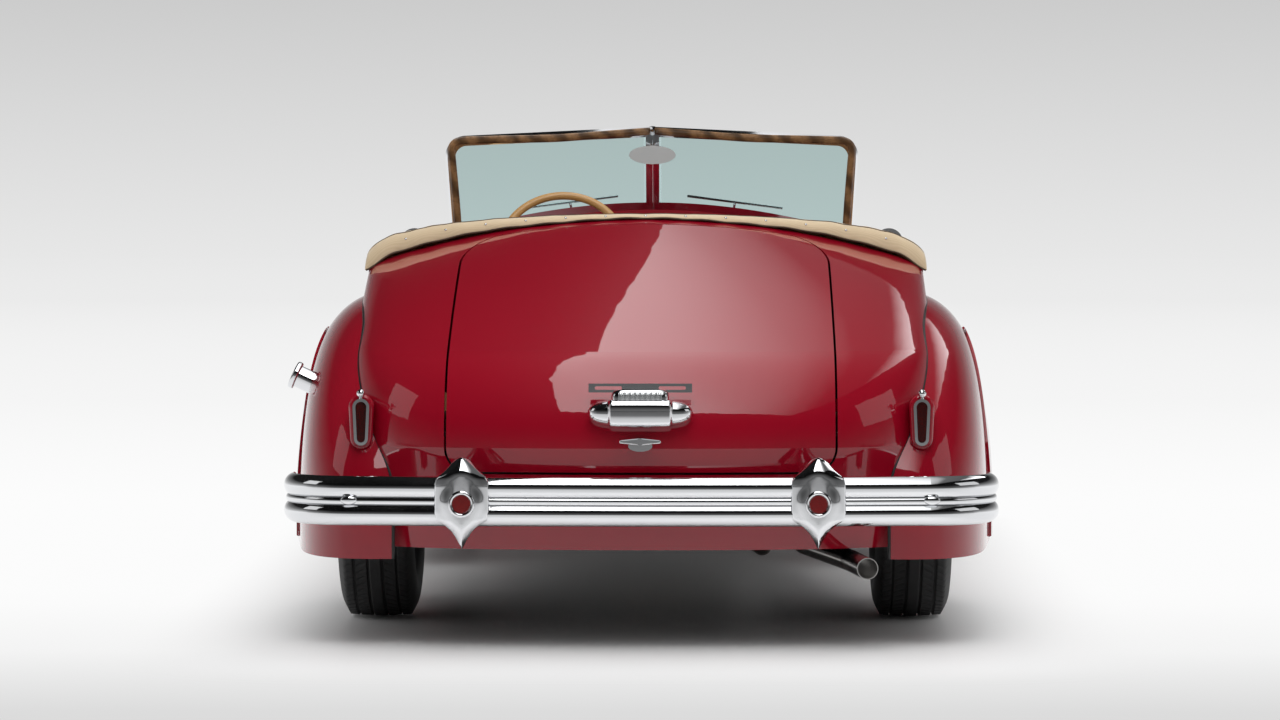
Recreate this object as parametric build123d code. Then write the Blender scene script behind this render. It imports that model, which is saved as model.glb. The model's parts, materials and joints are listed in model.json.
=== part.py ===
"""Classic open touring car of about 1940: a two-door convertible with its top folded under a boot cover.

Frame: +Y is forward, +X is the right-hand side, +Z is up. The origin is on the floor, at the middle of
the length. All sizes are in millimetres.
"""

import os
from math import cos, radians, sin, tan

from build123d import *

# Chassis
wheelbase = 3226.0
rear_overhang = 1200.0
front_overhang = 850.0
rear_track = 1480.0
front_track = 1470.0
overall_length = rear_overhang + wheelbase + front_overhang
rear_end_y = -overall_length / 2
rear_axle_y = rear_end_y + rear_overhang
front_axle_y = rear_axle_y + wheelbase
front_end_y = front_axle_y + front_overhang

# Wheels and tyres
tyre_radius = 362.0
tyre_width = 212.0
tread_width = 168.0
groove_width = 7.0
groove_depth = 7.0
bead_radius = 204.0
rim_width = 150.0
rim_flange = 14.0
rim_wall = 8.0
hub_radius = 62.0
hubcap_radius = 150.0
spindle_radius = 20.0
spindle_reach = 40.0
running_gap = 0.1
seat_gap = 0.3
wheel_z = tyre_radius

# Body shell
skin = 12.0
panel_gap = 6.0
body_half_width = 775.0
deck_top_z = 1112.0
deck_front_y = rear_axle_y - 10.0
tail_y = rear_end_y + 92.0
tail_belly_z = 520.0
tail_turn_radius = 268.0
tail_turn_angle = 66.0
tail_tuck = 42.0
valance_z = 256.0
belt_z = 985.0
sill_z = 332.0
side_wall = 42.0
# Tail sections: distance across from the middle, drop of the deck, pull of the tail towards the front
TAIL_SECTIONS = (
    (0.0, 0.0, 0.0),
    (260.0, 14.0, 12.0),
    (500.0, 52.0, 62.0),
    (body_half_width - 135.0, 86.0, 140.0),
    (body_half_width - 50.0, 112.0, 245.0),
    (body_half_width, 148.0, 400.0),
)

# Boot lid
lid_half_width = 503.0
lid_top_y = deck_front_y - 50.0
lid_bottom_z = 458.0
lid_corner = 62.0
lid_upper_width = 116.0
lid_upper_depth = 220.0

# Doors, cowl and cockpit
door_rear_y = rear_axle_y + 730.0
door_front_y = rear_axle_y + 1590.0
door_thickness = 62.0
sill_tuck = 14.0
cowl_front_y = front_axle_y - 1226.0
hinge_x = body_half_width - 75.0
hinge_y = door_front_y - panel_gap / 2
hinge_pin_radius = 4.5
hinge_barrel_radius = 9.0
# Side sections: station, half width at the belt, height of the belt
DOOR_SECTIONS = (
    (door_rear_y, body_half_width - 3.0, belt_z),
    (door_rear_y + 280.0, body_half_width - 11.0, belt_z - 62.0),
    (door_rear_y + 580.0, body_half_width - 39.0, belt_z - 48.0),
    (door_front_y, body_half_width - 83.0, belt_z + 26.0),
)

# Hood and nose: station, half width, height of the crown, height of the shoulder
hood_front_y = front_axle_y + 270.0
nose_front_y = front_axle_y + 540.0
hood_skirt_z = 702.0
hood_shoulder_radius = 110.0
HOOD_SECTIONS = (
    (door_front_y, body_half_width - 83.0, 1142.0, 1010.0),
    (cowl_front_y, body_half_width - 175.0, 1136.0, 985.0),
    (front_axle_y - 500.0, 462.0, 1112.0, 950.0),
    (hood_front_y, 330.0, 1078.0, 930.0),
)
NOSE_SECTIONS = (
    (hood_front_y, 330.0, 1078.0, 930.0),
    (hood_front_y + 170.0, 270.0, 1046.0, 900.0),
    (nose_front_y, 196.0, 985.0, 850.0),
)

# Fenders: an ellipse in side view, swept across by the share of its size at each station
fender_z = 330.0
fender_skirt_z = 226.0
fender_corner_rise = 60.0
fender_overhang = 169.0
fender_half_width = body_half_width + fender_overhang
rear_fender_height = 588.0
rear_fender_tail = 975.0
rear_fender_nose = 712.0
front_fender_height = 612.0
front_fender_tail = 1330.0
front_fender_nose = 660.0
wheel_opening_radius = 432.0
skirt_thickness = 5.0
skirt_overlap = 22.0
# Distance across from the middle, share of the full outline
REAR_FENDER_SECTIONS = (
    (fender_half_width - 384.0, 1.0),
    (fender_half_width - 254.0, 0.995),
    (fender_half_width - 144.0, 0.955),
    (fender_half_width - 76.0, 0.855),
    (fender_half_width - 34.0, 0.69),
    (fender_half_width - 10.0, 0.48),
    (fender_half_width, 0.30),
)
FRONT_FENDER_SECTIONS = (
    (fender_half_width - 614.0, 0.46),
    (fender_half_width - 444.0, 0.72),
    (fender_half_width - 314.0, 0.94),
    (fender_half_width - 209.0, 1.0),
    (fender_half_width - 126.0, 0.95),
    (fender_half_width - 72.0, 0.85),
    (fender_half_width - 32.0, 0.69),
    (fender_half_width - 10.0, 0.48),
    (fender_half_width, 0.30),
)

# Windshield: two flat panes that meet in a V
glass_base_z = 1140.0
glass_top_z = 1400.0
glass_base_y = rear_axle_y + 1800.0
glass_rake = 120.0
glass_corner_x = 622.0
glass_corner_z = 1030.0
glass_corner_sweep = 205.0
glass_top_corner_x = 641.0
glass_top_corner_z = 1364.0
glass_thickness = 6.0
frame_width = 26.0
frame_depth = 20.0
glass_corner_radius = 58.0
# Places of the inside mirror and its stalk, as shares of the glass's height
mirror_share = 174 / 260
mirror_stalk_share = 204 / 260

# Steering
steer_wheel_x = -272.0
steer_wheel_y = rear_axle_y + 1290.0
steer_wheel_z = 1018.0
steer_wheel_radius = 190.0
steer_rim_radius = 12.0
column_radius = 24.0
column_rake = 29.0
kingpin_x = 660.0
kingpin_radius = 18.0
kingpin_half_length = 124.0
arm_thickness = 22.0

# Frame and floor
rail_inside_x = 390.0
rail_width = 60.0
rail_height = 90.0
rail_low_z = 252.0
rail_kick_z = 503.0
rail_front_z = 332.0
pad_drop = 10.0
floor_z = rail_low_z + rail_height / 2 + seat_gap
floor_thickness = 12.0
trunk_floor_z = rail_kick_z + rail_height / 2 + seat_gap
bulkhead_y = rear_axle_y + 290.0
floor_half_width = 690.0
wheelhouse_radius = 424.0
wheelhouse_x = 592.0
tunnel_half_width = 112.0
tunnel_top_z = 500.0

# Bumpers
bumper_height = 127.0
bumper_z = 387.0
bumper_half_width = 902.0
bumper_depth = 26.0
bumper_bow = 46.0
bumper_wrap = 250.0
guard_x = 456.0
guard_half_width = 70.0
guard_top_z = 501.0
guard_bottom_z = 262.0
guard_depth = 52.0
reflector_radius = 23.0

# Lamps and fittings
tail_lamp_x = body_half_width - 44.0
tail_lamp_z = 581.0
tail_lens_height = 106.0
tail_lens_width = 28.0
tail_lens_taper = 0.74
headlamp_x = fender_half_width - 209.0
headlamp_z = 742.0
headlamp_radius = 108.0
filler_y = rear_end_y + 760.0
filler_z = 672.0
filler_radius = 38.0
exhaust_radius = 28.0
exhaust_wall = 2.5

nodes = {}


def mirrored(shape):
    """The same piece on the other side of the car."""
    return mirror(shape, about=Plane.YZ)


def on_both_sides(shape):
    """A pair of like pieces, right and left."""
    return [*shape.solids(), *mirrored(shape).solids()]


def box(x0, x1, y0, y1, z0, z1):
    """A block between two corners."""
    return Pos((x0 + x1) / 2, (y0 + y1) / 2, (z0 + z1) / 2) * Box(x1 - x0, y1 - y0, z1 - z0)


def rod(start, end, radius):
    """A round bar from one point to another."""
    start, end = Vector(start), Vector(end)
    return extrude(Plane(start, z_dir=end - start) * Circle(radius), (end - start).length)


def closed_face(*edges):
    """A flat face inside a closed chain of edges."""
    return make_face(Wire(edges))


def tail_section(across, drop, pull, inset):
    """The tail's outline in side view at one distance across: deck, round turn and tucked valance."""
    radius = tail_turn_radius - inset
    rear = Vector(across, tail_y + pull + inset, tail_belly_z)
    turn = radians(tail_turn_angle)
    lip = rear + Vector(0, radius * (1 - cos(turn)), radius * sin(turn))
    half = rear + Vector(0, radius * (1 - cos(turn / 2)), radius * sin(turn / 2))
    front_y = deck_front_y + inset
    top = Vector(across, front_y, deck_top_z - drop - inset)
    floor = valance_z - 2 * inset
    heel = Vector(across, rear.Y + tail_tuck, floor)
    return closed_face(
        ThreePointArc(rear, half, lip),
        TangentArc(lip, top, tangent=(0, sin(turn), cos(turn))),
        Line(top, (across, front_y, floor)),
        Line((across, front_y, floor), heel),
        Line(heel, rear),
    )


def tail_solid(inset):
    """The closed body of the tail, inset from its outside by a wall."""
    right = [(x - inset if x else 0.0, drop, pull) for x, drop, pull in TAIL_SECTIONS]
    rows = [(-x, drop, pull) for x, drop, pull in reversed(right[1:])] + right
    return loft([tail_section(x, drop, pull, inset) for x, drop, pull in rows])


def side_section(y, half_width, belt, thickness):
    """A slice across one body side at a station: bowed outside, parallel inside."""
    mid = (sill_z + belt) / 2
    foot = half_width - sill_tuck
    bulge = half_width + 4.0
    points = [(foot, sill_z), (bulge, mid), (half_width, belt)]
    outside = [Vector(x, y, z) for x, z in points]
    inside = [Vector(x - thickness, y, z) for x, z in points]
    return closed_face(
        ThreePointArc(*outside),
        Line(outside[2], inside[2]),
        ThreePointArc(*reversed(inside)),
        Line(inside[0], outside[0]),
    )


def dome_section(y, half_width, crown, shoulder, inset, bottom):
    """A slice across the hood: crowned top, round shoulders and upright sides."""
    half_width, crown, shoulder = half_width - inset, crown - inset, shoulder - inset
    left, right = Vector(-half_width, y, shoulder), Vector(half_width, y, shoulder)
    face = closed_face(
        ThreePointArc(left, (0, y, crown), right),
        Line(right, (half_width, y, bottom)),
        Line((half_width, y, bottom), (-half_width, y, bottom)),
        Line((-half_width, y, bottom), left),
    )
    corners = face.vertices().sort_by(Axis.Z)[-2:]
    return fillet(corners, hood_shoulder_radius - inset).face()


def beyond(last, previous, overrun):
    """A slice past the last one, on the line through the last two."""
    share = overrun / abs(last[0] - previous[0])
    return [a + (a - b) * share for a, b in zip(last, previous)]


def dome(rows, inset, bottom, overrun=0.0):
    """A crowned body through several slices, run past its ends where it is a cutter."""
    rows = [list(row) for row in rows]
    if overrun:
        rows = [beyond(rows[0], rows[1], overrun), *rows[1:-1], beyond(rows[-1], rows[-2], overrun)]
    return loft([dome_section(*row, inset, bottom) for row in rows])


def fender_section(axle_y, across, share, height, tail, nose, inset):
    """A fender's outline in side view at one distance across: two quarter ellipses on upright sides."""
    centre = (axle_y, fender_z)
    up, back, front = (size * share - inset for size in (height, tail, nose))
    foot = fender_skirt_z + fender_corner_rise * (1 - share) ** 2 - 2 * inset
    with BuildSketch(Plane.YZ.offset(across)) as outline:
        with BuildLine():
            front_arc = EllipticalCenterArc(centre, front, up, 0, arc_size=90)
            rear_arc = EllipticalCenterArc(centre, back, up, 90, arc_size=90)
            Polyline(rear_arc @ 1, (axle_y - back, foot), (axle_y + front, foot), front_arc @ 0)
        make_face()
    return outline.sketch.face()


def fender_solid(axle_y, sections, height, tail, nose, inset):
    """The closed body of a fender, inset from its outside by a wall, in two halves that meet at the crown."""
    crown = max(sections, key=lambda row: row[1])[0]
    body = None
    for side in (-1, 1):
        rows = [row for row in sections if side * (row[0] - crown) >= 0]
        if len(rows) < 2:
            continue
        places = [(x - side * inset if x != crown else x, share) for x, share in rows]
        if side < 0:
            places[0] = (rows[0][0] - 2 * inset, rows[0][1])
        elif sections[0][0] == crown:
            places[0] = (crown - 2 * inset, rows[0][1])
        half = loft([fender_section(axle_y, x, share, height, tail, nose, inset) for x, share in places])
        body = half if body is None else body + half
    return body


def wheel_cylinder(axle_y, radius, x0, x1):
    """A round space about a wheel's axis, with straight sides down to the road."""
    disc = Plane.YZ.offset(x0) * (Pos(axle_y, wheel_z) * Circle(radius))
    slot = Plane.YZ.offset(x0) * (Pos(axle_y, 0) * Rectangle(2 * radius, 2 * wheel_z))
    return extrude(disc, x1 - x0) + extrude(slot, x1 - x0)


def lid_prism(margin):
    """The space of the boot lid: round lower corners seen from behind, long upper ones seen from above."""
    half = lid_half_width + margin
    top = lid_top_y + margin
    wide, deep = lid_upper_width + margin, lid_upper_depth + margin
    height, length = 1200.0, 1600.0
    low = lid_bottom_z - margin
    behind = Plane.XZ * (Pos(0, low + height / 2) * RectangleRounded(2 * half, height, lid_corner + margin))
    with BuildSketch() as above:
        with BuildLine():
            right = EllipticalCenterArc((half - wide, top - deep), wide, deep, 0, arc_size=90)
            left = EllipticalCenterArc((wide - half, top - deep), wide, deep, 90, arc_size=90)
            Line(right @ 1, left @ 0)
            Polyline(left @ 1, (-half, top - length), (half, top - length), right @ 0)
        make_face()
    return extrude(behind, 3000.0, both=True) & extrude(above.sketch, 2000.0)


def make_body():
    """The rear body with its boot lid, the doors, the cowl and the dashboard."""
    outer, inner = tail_solid(0.0), tail_solid(skin)
    shell = outer - inner
    lid_cut = lid_prism(0.0)
    opening = lid_prism(panel_gap)
    nodes["boot_lid"] = shell & lid_cut

    quarter_rows = (
        (deck_front_y, body_half_width, belt_z),
        (door_rear_y - panel_gap, DOOR_SECTIONS[0][1], belt_z),
    )
    quarter = loft([side_section(*row, side_wall) for row in quarter_rows])
    wheel_space = wheel_cylinder(rear_axle_y, wheelhouse_radius + panel_gap, wheelhouse_x - 8, 1000.0)
    sides = quarter + mirrored(quarter)
    cutters = opening + wheel_space + mirrored(wheel_space)
    nodes["rear_body"] = (shell + sides) - cutters

    door_rows = [list(row) for row in DOOR_SECTIONS]
    door_rows[0][0] += panel_gap / 2
    door_rows[-1][0] -= panel_gap
    door = loft([side_section(*row, door_thickness) for row in door_rows])
    hood_outer = dome(HOOD_SECTIONS[:2], 0.0, sill_z)
    cowl = hood_outer - dome(HOOD_SECTIONS[:2], side_wall / 2, sill_z - 10, 20.0)
    first, last = HOOD_SECTIONS[:2]
    dash_rows = [beyond(first, last, -depth) for depth in (10.0, 50.0)]
    nodes["dashboard"] = dome(dash_rows, side_wall / 2 + seat_gap, 890.0)

    # Door hinges: heights of the barrels, which stand on the seam between cowl and door
    for z in (470.0, 850.0):
        place = Vector(hinge_x, hinge_y, z)
        room = rod(place - Vector(0, 0, 48), place + Vector(0, 0, 48), hinge_barrel_radius + 1.5)
        cowl = cowl - room - mirrored(room)
        door = door - room
        pin = rod(place - Vector(0, 0, 46), place + Vector(0, 0, 46), hinge_pin_radius)
        for low in (-46, 16):
            ear = rod(place + Vector(0, 0, low), place + Vector(0, 0, low + 30), hinge_barrel_radius)
            leaf = box(hinge_x - 16, hinge_x, hinge_y + 3, hinge_y + 34, z + low, z + low + 30)
            pin = pin + ear + leaf
        knuckle = rod(place - Vector(0, 0, 15), place + Vector(0, 0, 15), hinge_barrel_radius)
        knuckle = knuckle + box(hinge_x - 16, hinge_x, hinge_y - 34, hinge_y - 3, z - 15, z + 15)
        knuckle = knuckle - rod(place - Vector(0, 0, 50), place + Vector(0, 0, 50), hinge_pin_radius + 0.08)
        cowl = cowl + pin + mirrored(pin)
        door = door + knuckle
    nodes["cowl"] = cowl
    nodes["door_right"] = door
    nodes["door_left"] = mirrored(door)
    return outer


def make_hood():
    """The two hood halves, the nose, its grille bars and the splash aprons."""
    rows = [list(row) for row in HOOD_SECTIONS[1:]]
    rows[0][0] += panel_gap
    rows[-1][0] -= panel_gap
    hood = dome(rows, 0.0, hood_skirt_z) - dome(rows, skin, hood_skirt_z - 10, 20.0)
    split = box(panel_gap / 2, 900, cowl_front_y, hood_front_y, 0, 1500)
    half = hood & split
    pin_x, pin_rise = 10.0, 9.0
    pin_rear = Vector(pin_x, rows[0][0] - 26, rows[0][2] + pin_rise)
    pin_front = Vector(pin_x, rows[-1][0] + 26, rows[-1][2] + pin_rise)
    along = (pin_front - pin_rear).normalized()
    length = (pin_front - pin_rear).length
    pin = rod(pin_rear, pin_front, hinge_pin_radius - 1)
    for end in (pin_rear, pin_front):
        pin = pin + box(3, 17, end.Y - 14, end.Y + 14, end.Z - 24, end.Z + 5)
    for share in (0.06, 0.5, 0.94):
        centre = pin_rear + along * (length * share)
        eye = rod(centre - along * 30, centre + along * 30, hinge_barrel_radius - 2)
        web = box(4, 16, centre.Y - 29, centre.Y + 29, centre.Z - 18, centre.Z)
        half = half + eye + web
    half = half - rod(pin_rear - along * 5, pin_front + along * 5, hinge_pin_radius - 1 + 0.08)
    nodes["hood_right"] = half
    nodes["hood_left"] = mirrored(half)
    nose_solid = dome(NOSE_SECTIONS, 0.0, 420.0)
    hinge = pin - dome(HOOD_SECTIONS[:2], 0.0, sill_z) - nose_solid
    hinge = hinge.solids().sort_by(SortBy.VOLUME)[-1]
    nodes["hood_hinge"] = on_both_sides(hinge)

    nose_bottom = 420.0
    nose = dome(NOSE_SECTIONS, 0.0, nose_bottom) - dome(NOSE_SECTIONS, skin, nose_bottom - 10, 20.0)
    nodes["nose_shell"] = nose
    front_width = NOSE_SECTIONS[-1][1] - skin - seat_gap
    bar_pitch = 26.0
    bar_count = int(front_width / bar_pitch)
    grille = box(-300, 300, nose_front_y - 34, nose_front_y - 22, 560, 574)
    grille = grille + box(-300, 300, nose_front_y - 34, nose_front_y - 22, 760, 774)
    for index in range(-bar_count, bar_count + 1):
        x = index * bar_pitch
        grille = grille + box(x - 5, x + 5, nose_front_y - 30, nose_front_y - 4, nose_bottom + 20, 800)
    nodes["grille_bars"] = grille & dome(NOSE_SECTIONS, skin + seat_gap, nose_bottom, 20.0)

    rear_x, front_x = HOOD_SECTIONS[1][1] - 40, HOOD_SECTIONS[-1][1] - 22
    plate = Polygon(
        (rear_x, cowl_front_y - 0.2),
        (rear_x + 8, cowl_front_y - 0.2),
        (front_x + 8, hood_front_y),
        (front_x, hood_front_y),
        align=None,
    )
    apron_height = hood_skirt_z - 80 - rail_front_z
    apron = extrude(Plane.XY.offset(rail_front_z + 60) * plate, apron_height, dir=(0, 0, 1))
    nodes["nose_shell"] = [*nodes["nose_shell"].solids(), *on_both_sides(apron)]


def make_fenders(tail_outer):
    """Front and rear fenders, and the skirts over the rear wheel openings."""
    rear_shape = (REAR_FENDER_SECTIONS, rear_fender_height, rear_fender_tail, rear_fender_nose)
    front_shape = (FRONT_FENDER_SECTIONS, front_fender_height, front_fender_tail, front_fender_nose)
    body_side = box(0, body_half_width + 8.5, deck_front_y - 30, door_front_y, 0, 1500)
    rear_outer = fender_solid(rear_axle_y, *rear_shape, 0.0)
    rear = rear_outer - fender_solid(rear_axle_y, *rear_shape, skin)
    outside = fender_half_width + 136
    inboard = box(0, wheelhouse_x + 53, rear_end_y, door_front_y, 0, 1500)
    rear = rear - tail_outer - body_side - inboard
    opening = wheel_cylinder(rear_axle_y, wheel_opening_radius, fender_half_width - 84, outside)
    rear = rear - opening
    nodes["rear_fenders"] = on_both_sides(rear)

    seat = fender_solid(rear_axle_y, *rear_shape, -seat_gap)
    cover = fender_solid(rear_axle_y, *rear_shape, -skirt_thickness)
    skirt_radius = wheel_opening_radius + skirt_overlap
    skirt_zone = wheel_cylinder(rear_axle_y, skirt_radius, fender_half_width - 54, outside)
    above_foot = box(0, outside, rear_axle_y - 900, rear_axle_y + 900, fender_skirt_z, 1200)
    skirt = (cover - seat) & skirt_zone & above_foot
    nodes["wheel_skirts"] = on_both_sides(skirt)

    front_outer = fender_solid(front_axle_y, *front_shape, 0.0)
    front = front_outer - fender_solid(front_axle_y, *front_shape, skin)
    front = front - dome(HOOD_SECTIONS[:2], -seat_gap, 0.0)
    front = front - dome(HOOD_SECTIONS[1:], -panel_gap, 0.0)
    front = front - dome(NOSE_SECTIONS, -seat_gap, 0.0)
    front = front - wheel_cylinder(front_axle_y, wheel_opening_radius, fender_half_width - 144, outside)
    front = front - box(0, 475, front_axle_y - 1400, front_axle_y + 900, 0, 400)
    front = front.solids().sort_by(SortBy.VOLUME)[-1]
    nodes["front_fenders"] = on_both_sides(front)
    return rear_outer, front_outer


def thick_line(points, half_height):
    """A strip of constant height along a broken line in side view."""
    upper = [(y, z + half_height) for y, z in points]
    lower = [(y, z - half_height) for y, z in reversed(points)]
    return Polygon(*upper, *lower, align=None)


def make_chassis():
    """Frame, floor, wheelhouses, engine, springs, axle and front suspension."""
    rail_line = (
        (rear_end_y + 170, rail_kick_z - 33),
        (rear_axle_y - 250, rail_kick_z),
        (rear_axle_y + 70, rail_kick_z),
        (bulkhead_y - 20, rail_low_z),
        (front_axle_y - 620, rail_low_z),
        (front_axle_y - 260, rail_front_z),
        (front_end_y - 330, rail_front_z),
    )
    rail_outside_x = rail_inside_x + rail_width
    rail_side = Plane.YZ.offset(rail_inside_x) * thick_line(rail_line, rail_height / 2)
    rail = extrude(rail_side, rail_width, dir=(1, 0, 0))
    spring_x = rail_outside_x + 98.0
    spring_width = 56.0
    spring_rear_y, spring_front_y = rear_axle_y - 520, rear_axle_y + 500
    bracket_x = (rail_outside_x - 1, spring_x + spring_width / 2)
    hanger = box(*bracket_x, spring_rear_y - 20, spring_rear_y + 20, 415.3, 470)
    eye = box(*bracket_x, spring_front_y + seat_gap, spring_front_y + 40, 215, 290)
    tower = box(rail_inside_x, rail_outside_x, front_axle_y - 130, front_axle_y + 130, 232, 492)
    side = rail + hanger + eye + tower
    pad_z = rail_low_z - rail_height / 2
    for pad_y in (rear_axle_y + 800, front_axle_y - 726):
        pad = box(rail_inside_x, rail_outside_x, pad_y - 60, pad_y + 60, pad_z - pad_drop, pad_z + 1)
        side = side + pad
    frame = side + mirrored(side)
    # Cross members: station, height
    cross_members = (
        (rear_end_y + 210, rail_kick_z - 30),
        (rear_axle_y - 330, rail_kick_z - 4),
        (bulkhead_y + 110, rail_low_z - 10),
        (rear_axle_y + 1500, rail_low_z - 10),
        (cowl_front_y + 70, rail_low_z - 10),
        (front_axle_y - 180, rail_front_z),
        (front_axle_y + 210, rail_front_z),
        (front_end_y - 370, rail_front_z),
    )
    for y, z in cross_members:
        frame = frame + box(-rail_inside_x - 1, rail_inside_x + 1, y - 40, y + 40, z - 35, z + 35)
    nodes["frame"] = frame

    floor_plan = (
        (body_half_width - 87, bulkhead_y),
        (body_half_width - 87, door_rear_y),
        (body_half_width - 167, door_front_y),
        (body_half_width - 245, cowl_front_y - 10.8),
    )
    plan = Polygon(*floor_plan, *[(-x, y) for x, y in reversed(floor_plan)], align=None)
    floor = extrude(Plane.XY.offset(floor_z) * plan, floor_thickness, dir=(0, 0, 1))
    wall = 10.0
    tunnel_end_y = cowl_front_y - 10.8
    tunnel = box(-tunnel_half_width, tunnel_half_width, bulkhead_y, tunnel_end_y, floor_z, tunnel_top_z)
    inner = tunnel_half_width - wall
    hollow = box(-inner, inner, bulkhead_y - 50, cowl_front_y, 0, tunnel_top_z - wall)
    step_half = floor_half_width - 110
    step = box(-step_half, step_half, bulkhead_y, bulkhead_y + 12, floor_z, trunk_floor_z + 12)
    slot_half = tunnel_half_width + seat_gap
    slot = box(-slot_half, slot_half, bulkhead_y - 50, cowl_front_y, 0, tunnel_top_z)
    room_end_y = bulkhead_y + 12 + seat_gap
    step_room = box(-floor_half_width, floor_half_width, bulkhead_y - 50, room_end_y, 0, 1000)
    tunnel = tunnel - hollow - step_room
    step = step - hollow
    plates = floor - slot - step_room

    trunk_z = (trunk_floor_z, trunk_floor_z + 10)
    trunk_half, tail_half = body_half_width - 45, body_half_width + 25
    trunk = box(-trunk_half, trunk_half, deck_front_y - 2, bulkhead_y - seat_gap, *trunk_z)
    tail_room = box(-tail_half, tail_half, rear_end_y, deck_front_y, *trunk_z)
    trunk = trunk + (tail_room & tail_solid(skin + seat_gap))
    well = wheel_cylinder(rear_axle_y, wheelhouse_radius + seat_gap, wheelhouse_x - seat_gap, 1000.0)
    boot_floor = trunk - well - mirrored(well)
    plates = plates - well - mirrored(well)

    house = wheel_cylinder(rear_axle_y, wheelhouse_radius, wheelhouse_x, body_half_width - 6)
    house = house - wheel_cylinder(rear_axle_y, wheelhouse_radius - wall, wheelhouse_x + wall, 1000.0)
    house = house - box(0, 1000, rear_axle_y - 600, rear_axle_y + 600, -800, sill_z)
    house = house - box(0, 700, rear_axle_y - 75, rear_axle_y + 75, 0, 470)
    wheelhouses = on_both_sides(house)

    sill = Polygon(
        (body_half_width - 41, rear_axle_y + 440),
        (body_half_width - 41, door_rear_y),
        (body_half_width - 121, door_front_y),
        (body_half_width - 175, cowl_front_y - 110),
        (body_half_width - 220, cowl_front_y - 110),
        (body_half_width - 166, door_front_y),
        (body_half_width - 86, door_rear_y),
        (body_half_width - 86, rear_axle_y + 440),
        align=None,
    )
    sills = on_both_sides(extrude(Plane.XY.offset(240) * sill, sill_z - 247, dir=(0, 0, 1)))
    cabin_floor = [*plates.solids(), *tunnel.solids(), *step.solids()]
    nodes["floor_pan"] = [*cabin_floor, *boot_floor.solids(), *wheelhouses, *sills]

    block_z = rail_front_z + 35 + seat_gap
    block = box(-150, 150, front_axle_y - 1076, front_axle_y - 90, block_z, 820)
    head = box(-105, 105, front_axle_y - 1040, front_axle_y - 130, 820, 930)
    gearbox = box(-96, 96, cowl_front_y + 10, front_axle_y - 1076, rail_low_z + 25 + seat_gap, 480)
    radiator_y = front_axle_y + 210
    radiator = box(-250, 250, radiator_y - 35, radiator_y + 35, block_z, 930)
    nodes["engine_and_radiator"] = [*(block + head + gearbox).solids(), radiator]
    shaft_start = (0, rear_axle_y + 141, wheel_z + 10)
    drive_shaft = rod(shaft_start, (0, cowl_front_y + 9, 400), 36)
    tank = box(-372, 230, rear_end_y + 280, rear_end_y + 780, 335, trunk_floor_z - seat_gap)
    nodes["fuel_tank"] = fillet(tank.edges().filter_by(Axis.X), 40)

    spring_line = (
        (spring_rear_y - 20, 400),
        (rear_axle_y - 60, wheel_z - 55.3),
        (rear_axle_y + 60, wheel_z - 55.3),
        (spring_front_y, 254),
    )
    spring_side = Plane.YZ.offset(spring_x - spring_width / 2) * thick_line(spring_line, 15)
    springs = on_both_sides(extrude(spring_side, spring_width, dir=(1, 0, 0)))

    half_track = rear_track / 2
    stub_x, plate_x = half_track + spindle_reach, half_track - 70
    right = [(132, 40), (plate_x - 16, 40), (plate_x - 16, 150), (plate_x, 150), (plate_x, spindle_radius),
             (stub_x, spindle_radius), (stub_x, 0)]
    left = [(-x, r) for x, r in reversed(right)]
    outline = Wire(
        [
            *Polyline(*left).edges(),
            ThreePointArc((-132, 40), (0, 138), (132, 40)),
            *Polyline(*right).edges(),
            Line((stub_x, 0), (-stub_x, 0)),
        ]
    )
    axle = Pos(0, rear_axle_y, wheel_z) * revolve(make_face(outline), Axis.X)
    nodes["rear_axle"] = [*axle.solids(), *drive_shaft.solids()]

    arm_plan = Polygon(
        (rail_outside_x + seat_gap, front_axle_y - 120),
        (kingpin_x + 26, front_axle_y - 28),
        (kingpin_x + 26, front_axle_y + 28),
        (rail_outside_x + seat_gap, front_axle_y + 120),
        align=None,
    )
    arm_plan = arm_plan - Pos(kingpin_x, front_axle_y) * Circle(kingpin_radius + running_gap)
    arms = []
    for z in (wheel_z - kingpin_half_length, wheel_z + kingpin_half_length - arm_thickness):
        arms += on_both_sides(extrude(Plane.XY.offset(z) * arm_plan, arm_thickness, dir=(0, 0, 1)))
    nodes["suspension"] = [*springs, *arms]

    upright = kingpin_half_length - arm_thickness - running_gap
    pin_base = (kingpin_x, front_axle_y, wheel_z - kingpin_half_length + 1)
    pin_top = (kingpin_x, front_axle_y, wheel_z + kingpin_half_length - 1)
    knuckle = rod(pin_base, pin_top, kingpin_radius)
    knuckle = knuckle + box(
        kingpin_x - 24,
        kingpin_x + 22,
        front_axle_y - 30,
        front_axle_y + 30,
        wheel_z - upright,
        wheel_z + upright,
    )
    hub_x = front_track / 2
    knuckle = knuckle + rod(
        (kingpin_x, front_axle_y, wheel_z), (hub_x + spindle_reach, front_axle_y, wheel_z), spindle_radius
    )
    backing = (kingpin_x + 10, front_axle_y, wheel_z), (kingpin_x + 24, front_axle_y, wheel_z)
    knuckle = knuckle + rod(*backing, 95)
    nodes["knuckle_right"] = knuckle
    nodes["knuckle_left"] = mirrored(knuckle)


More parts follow.
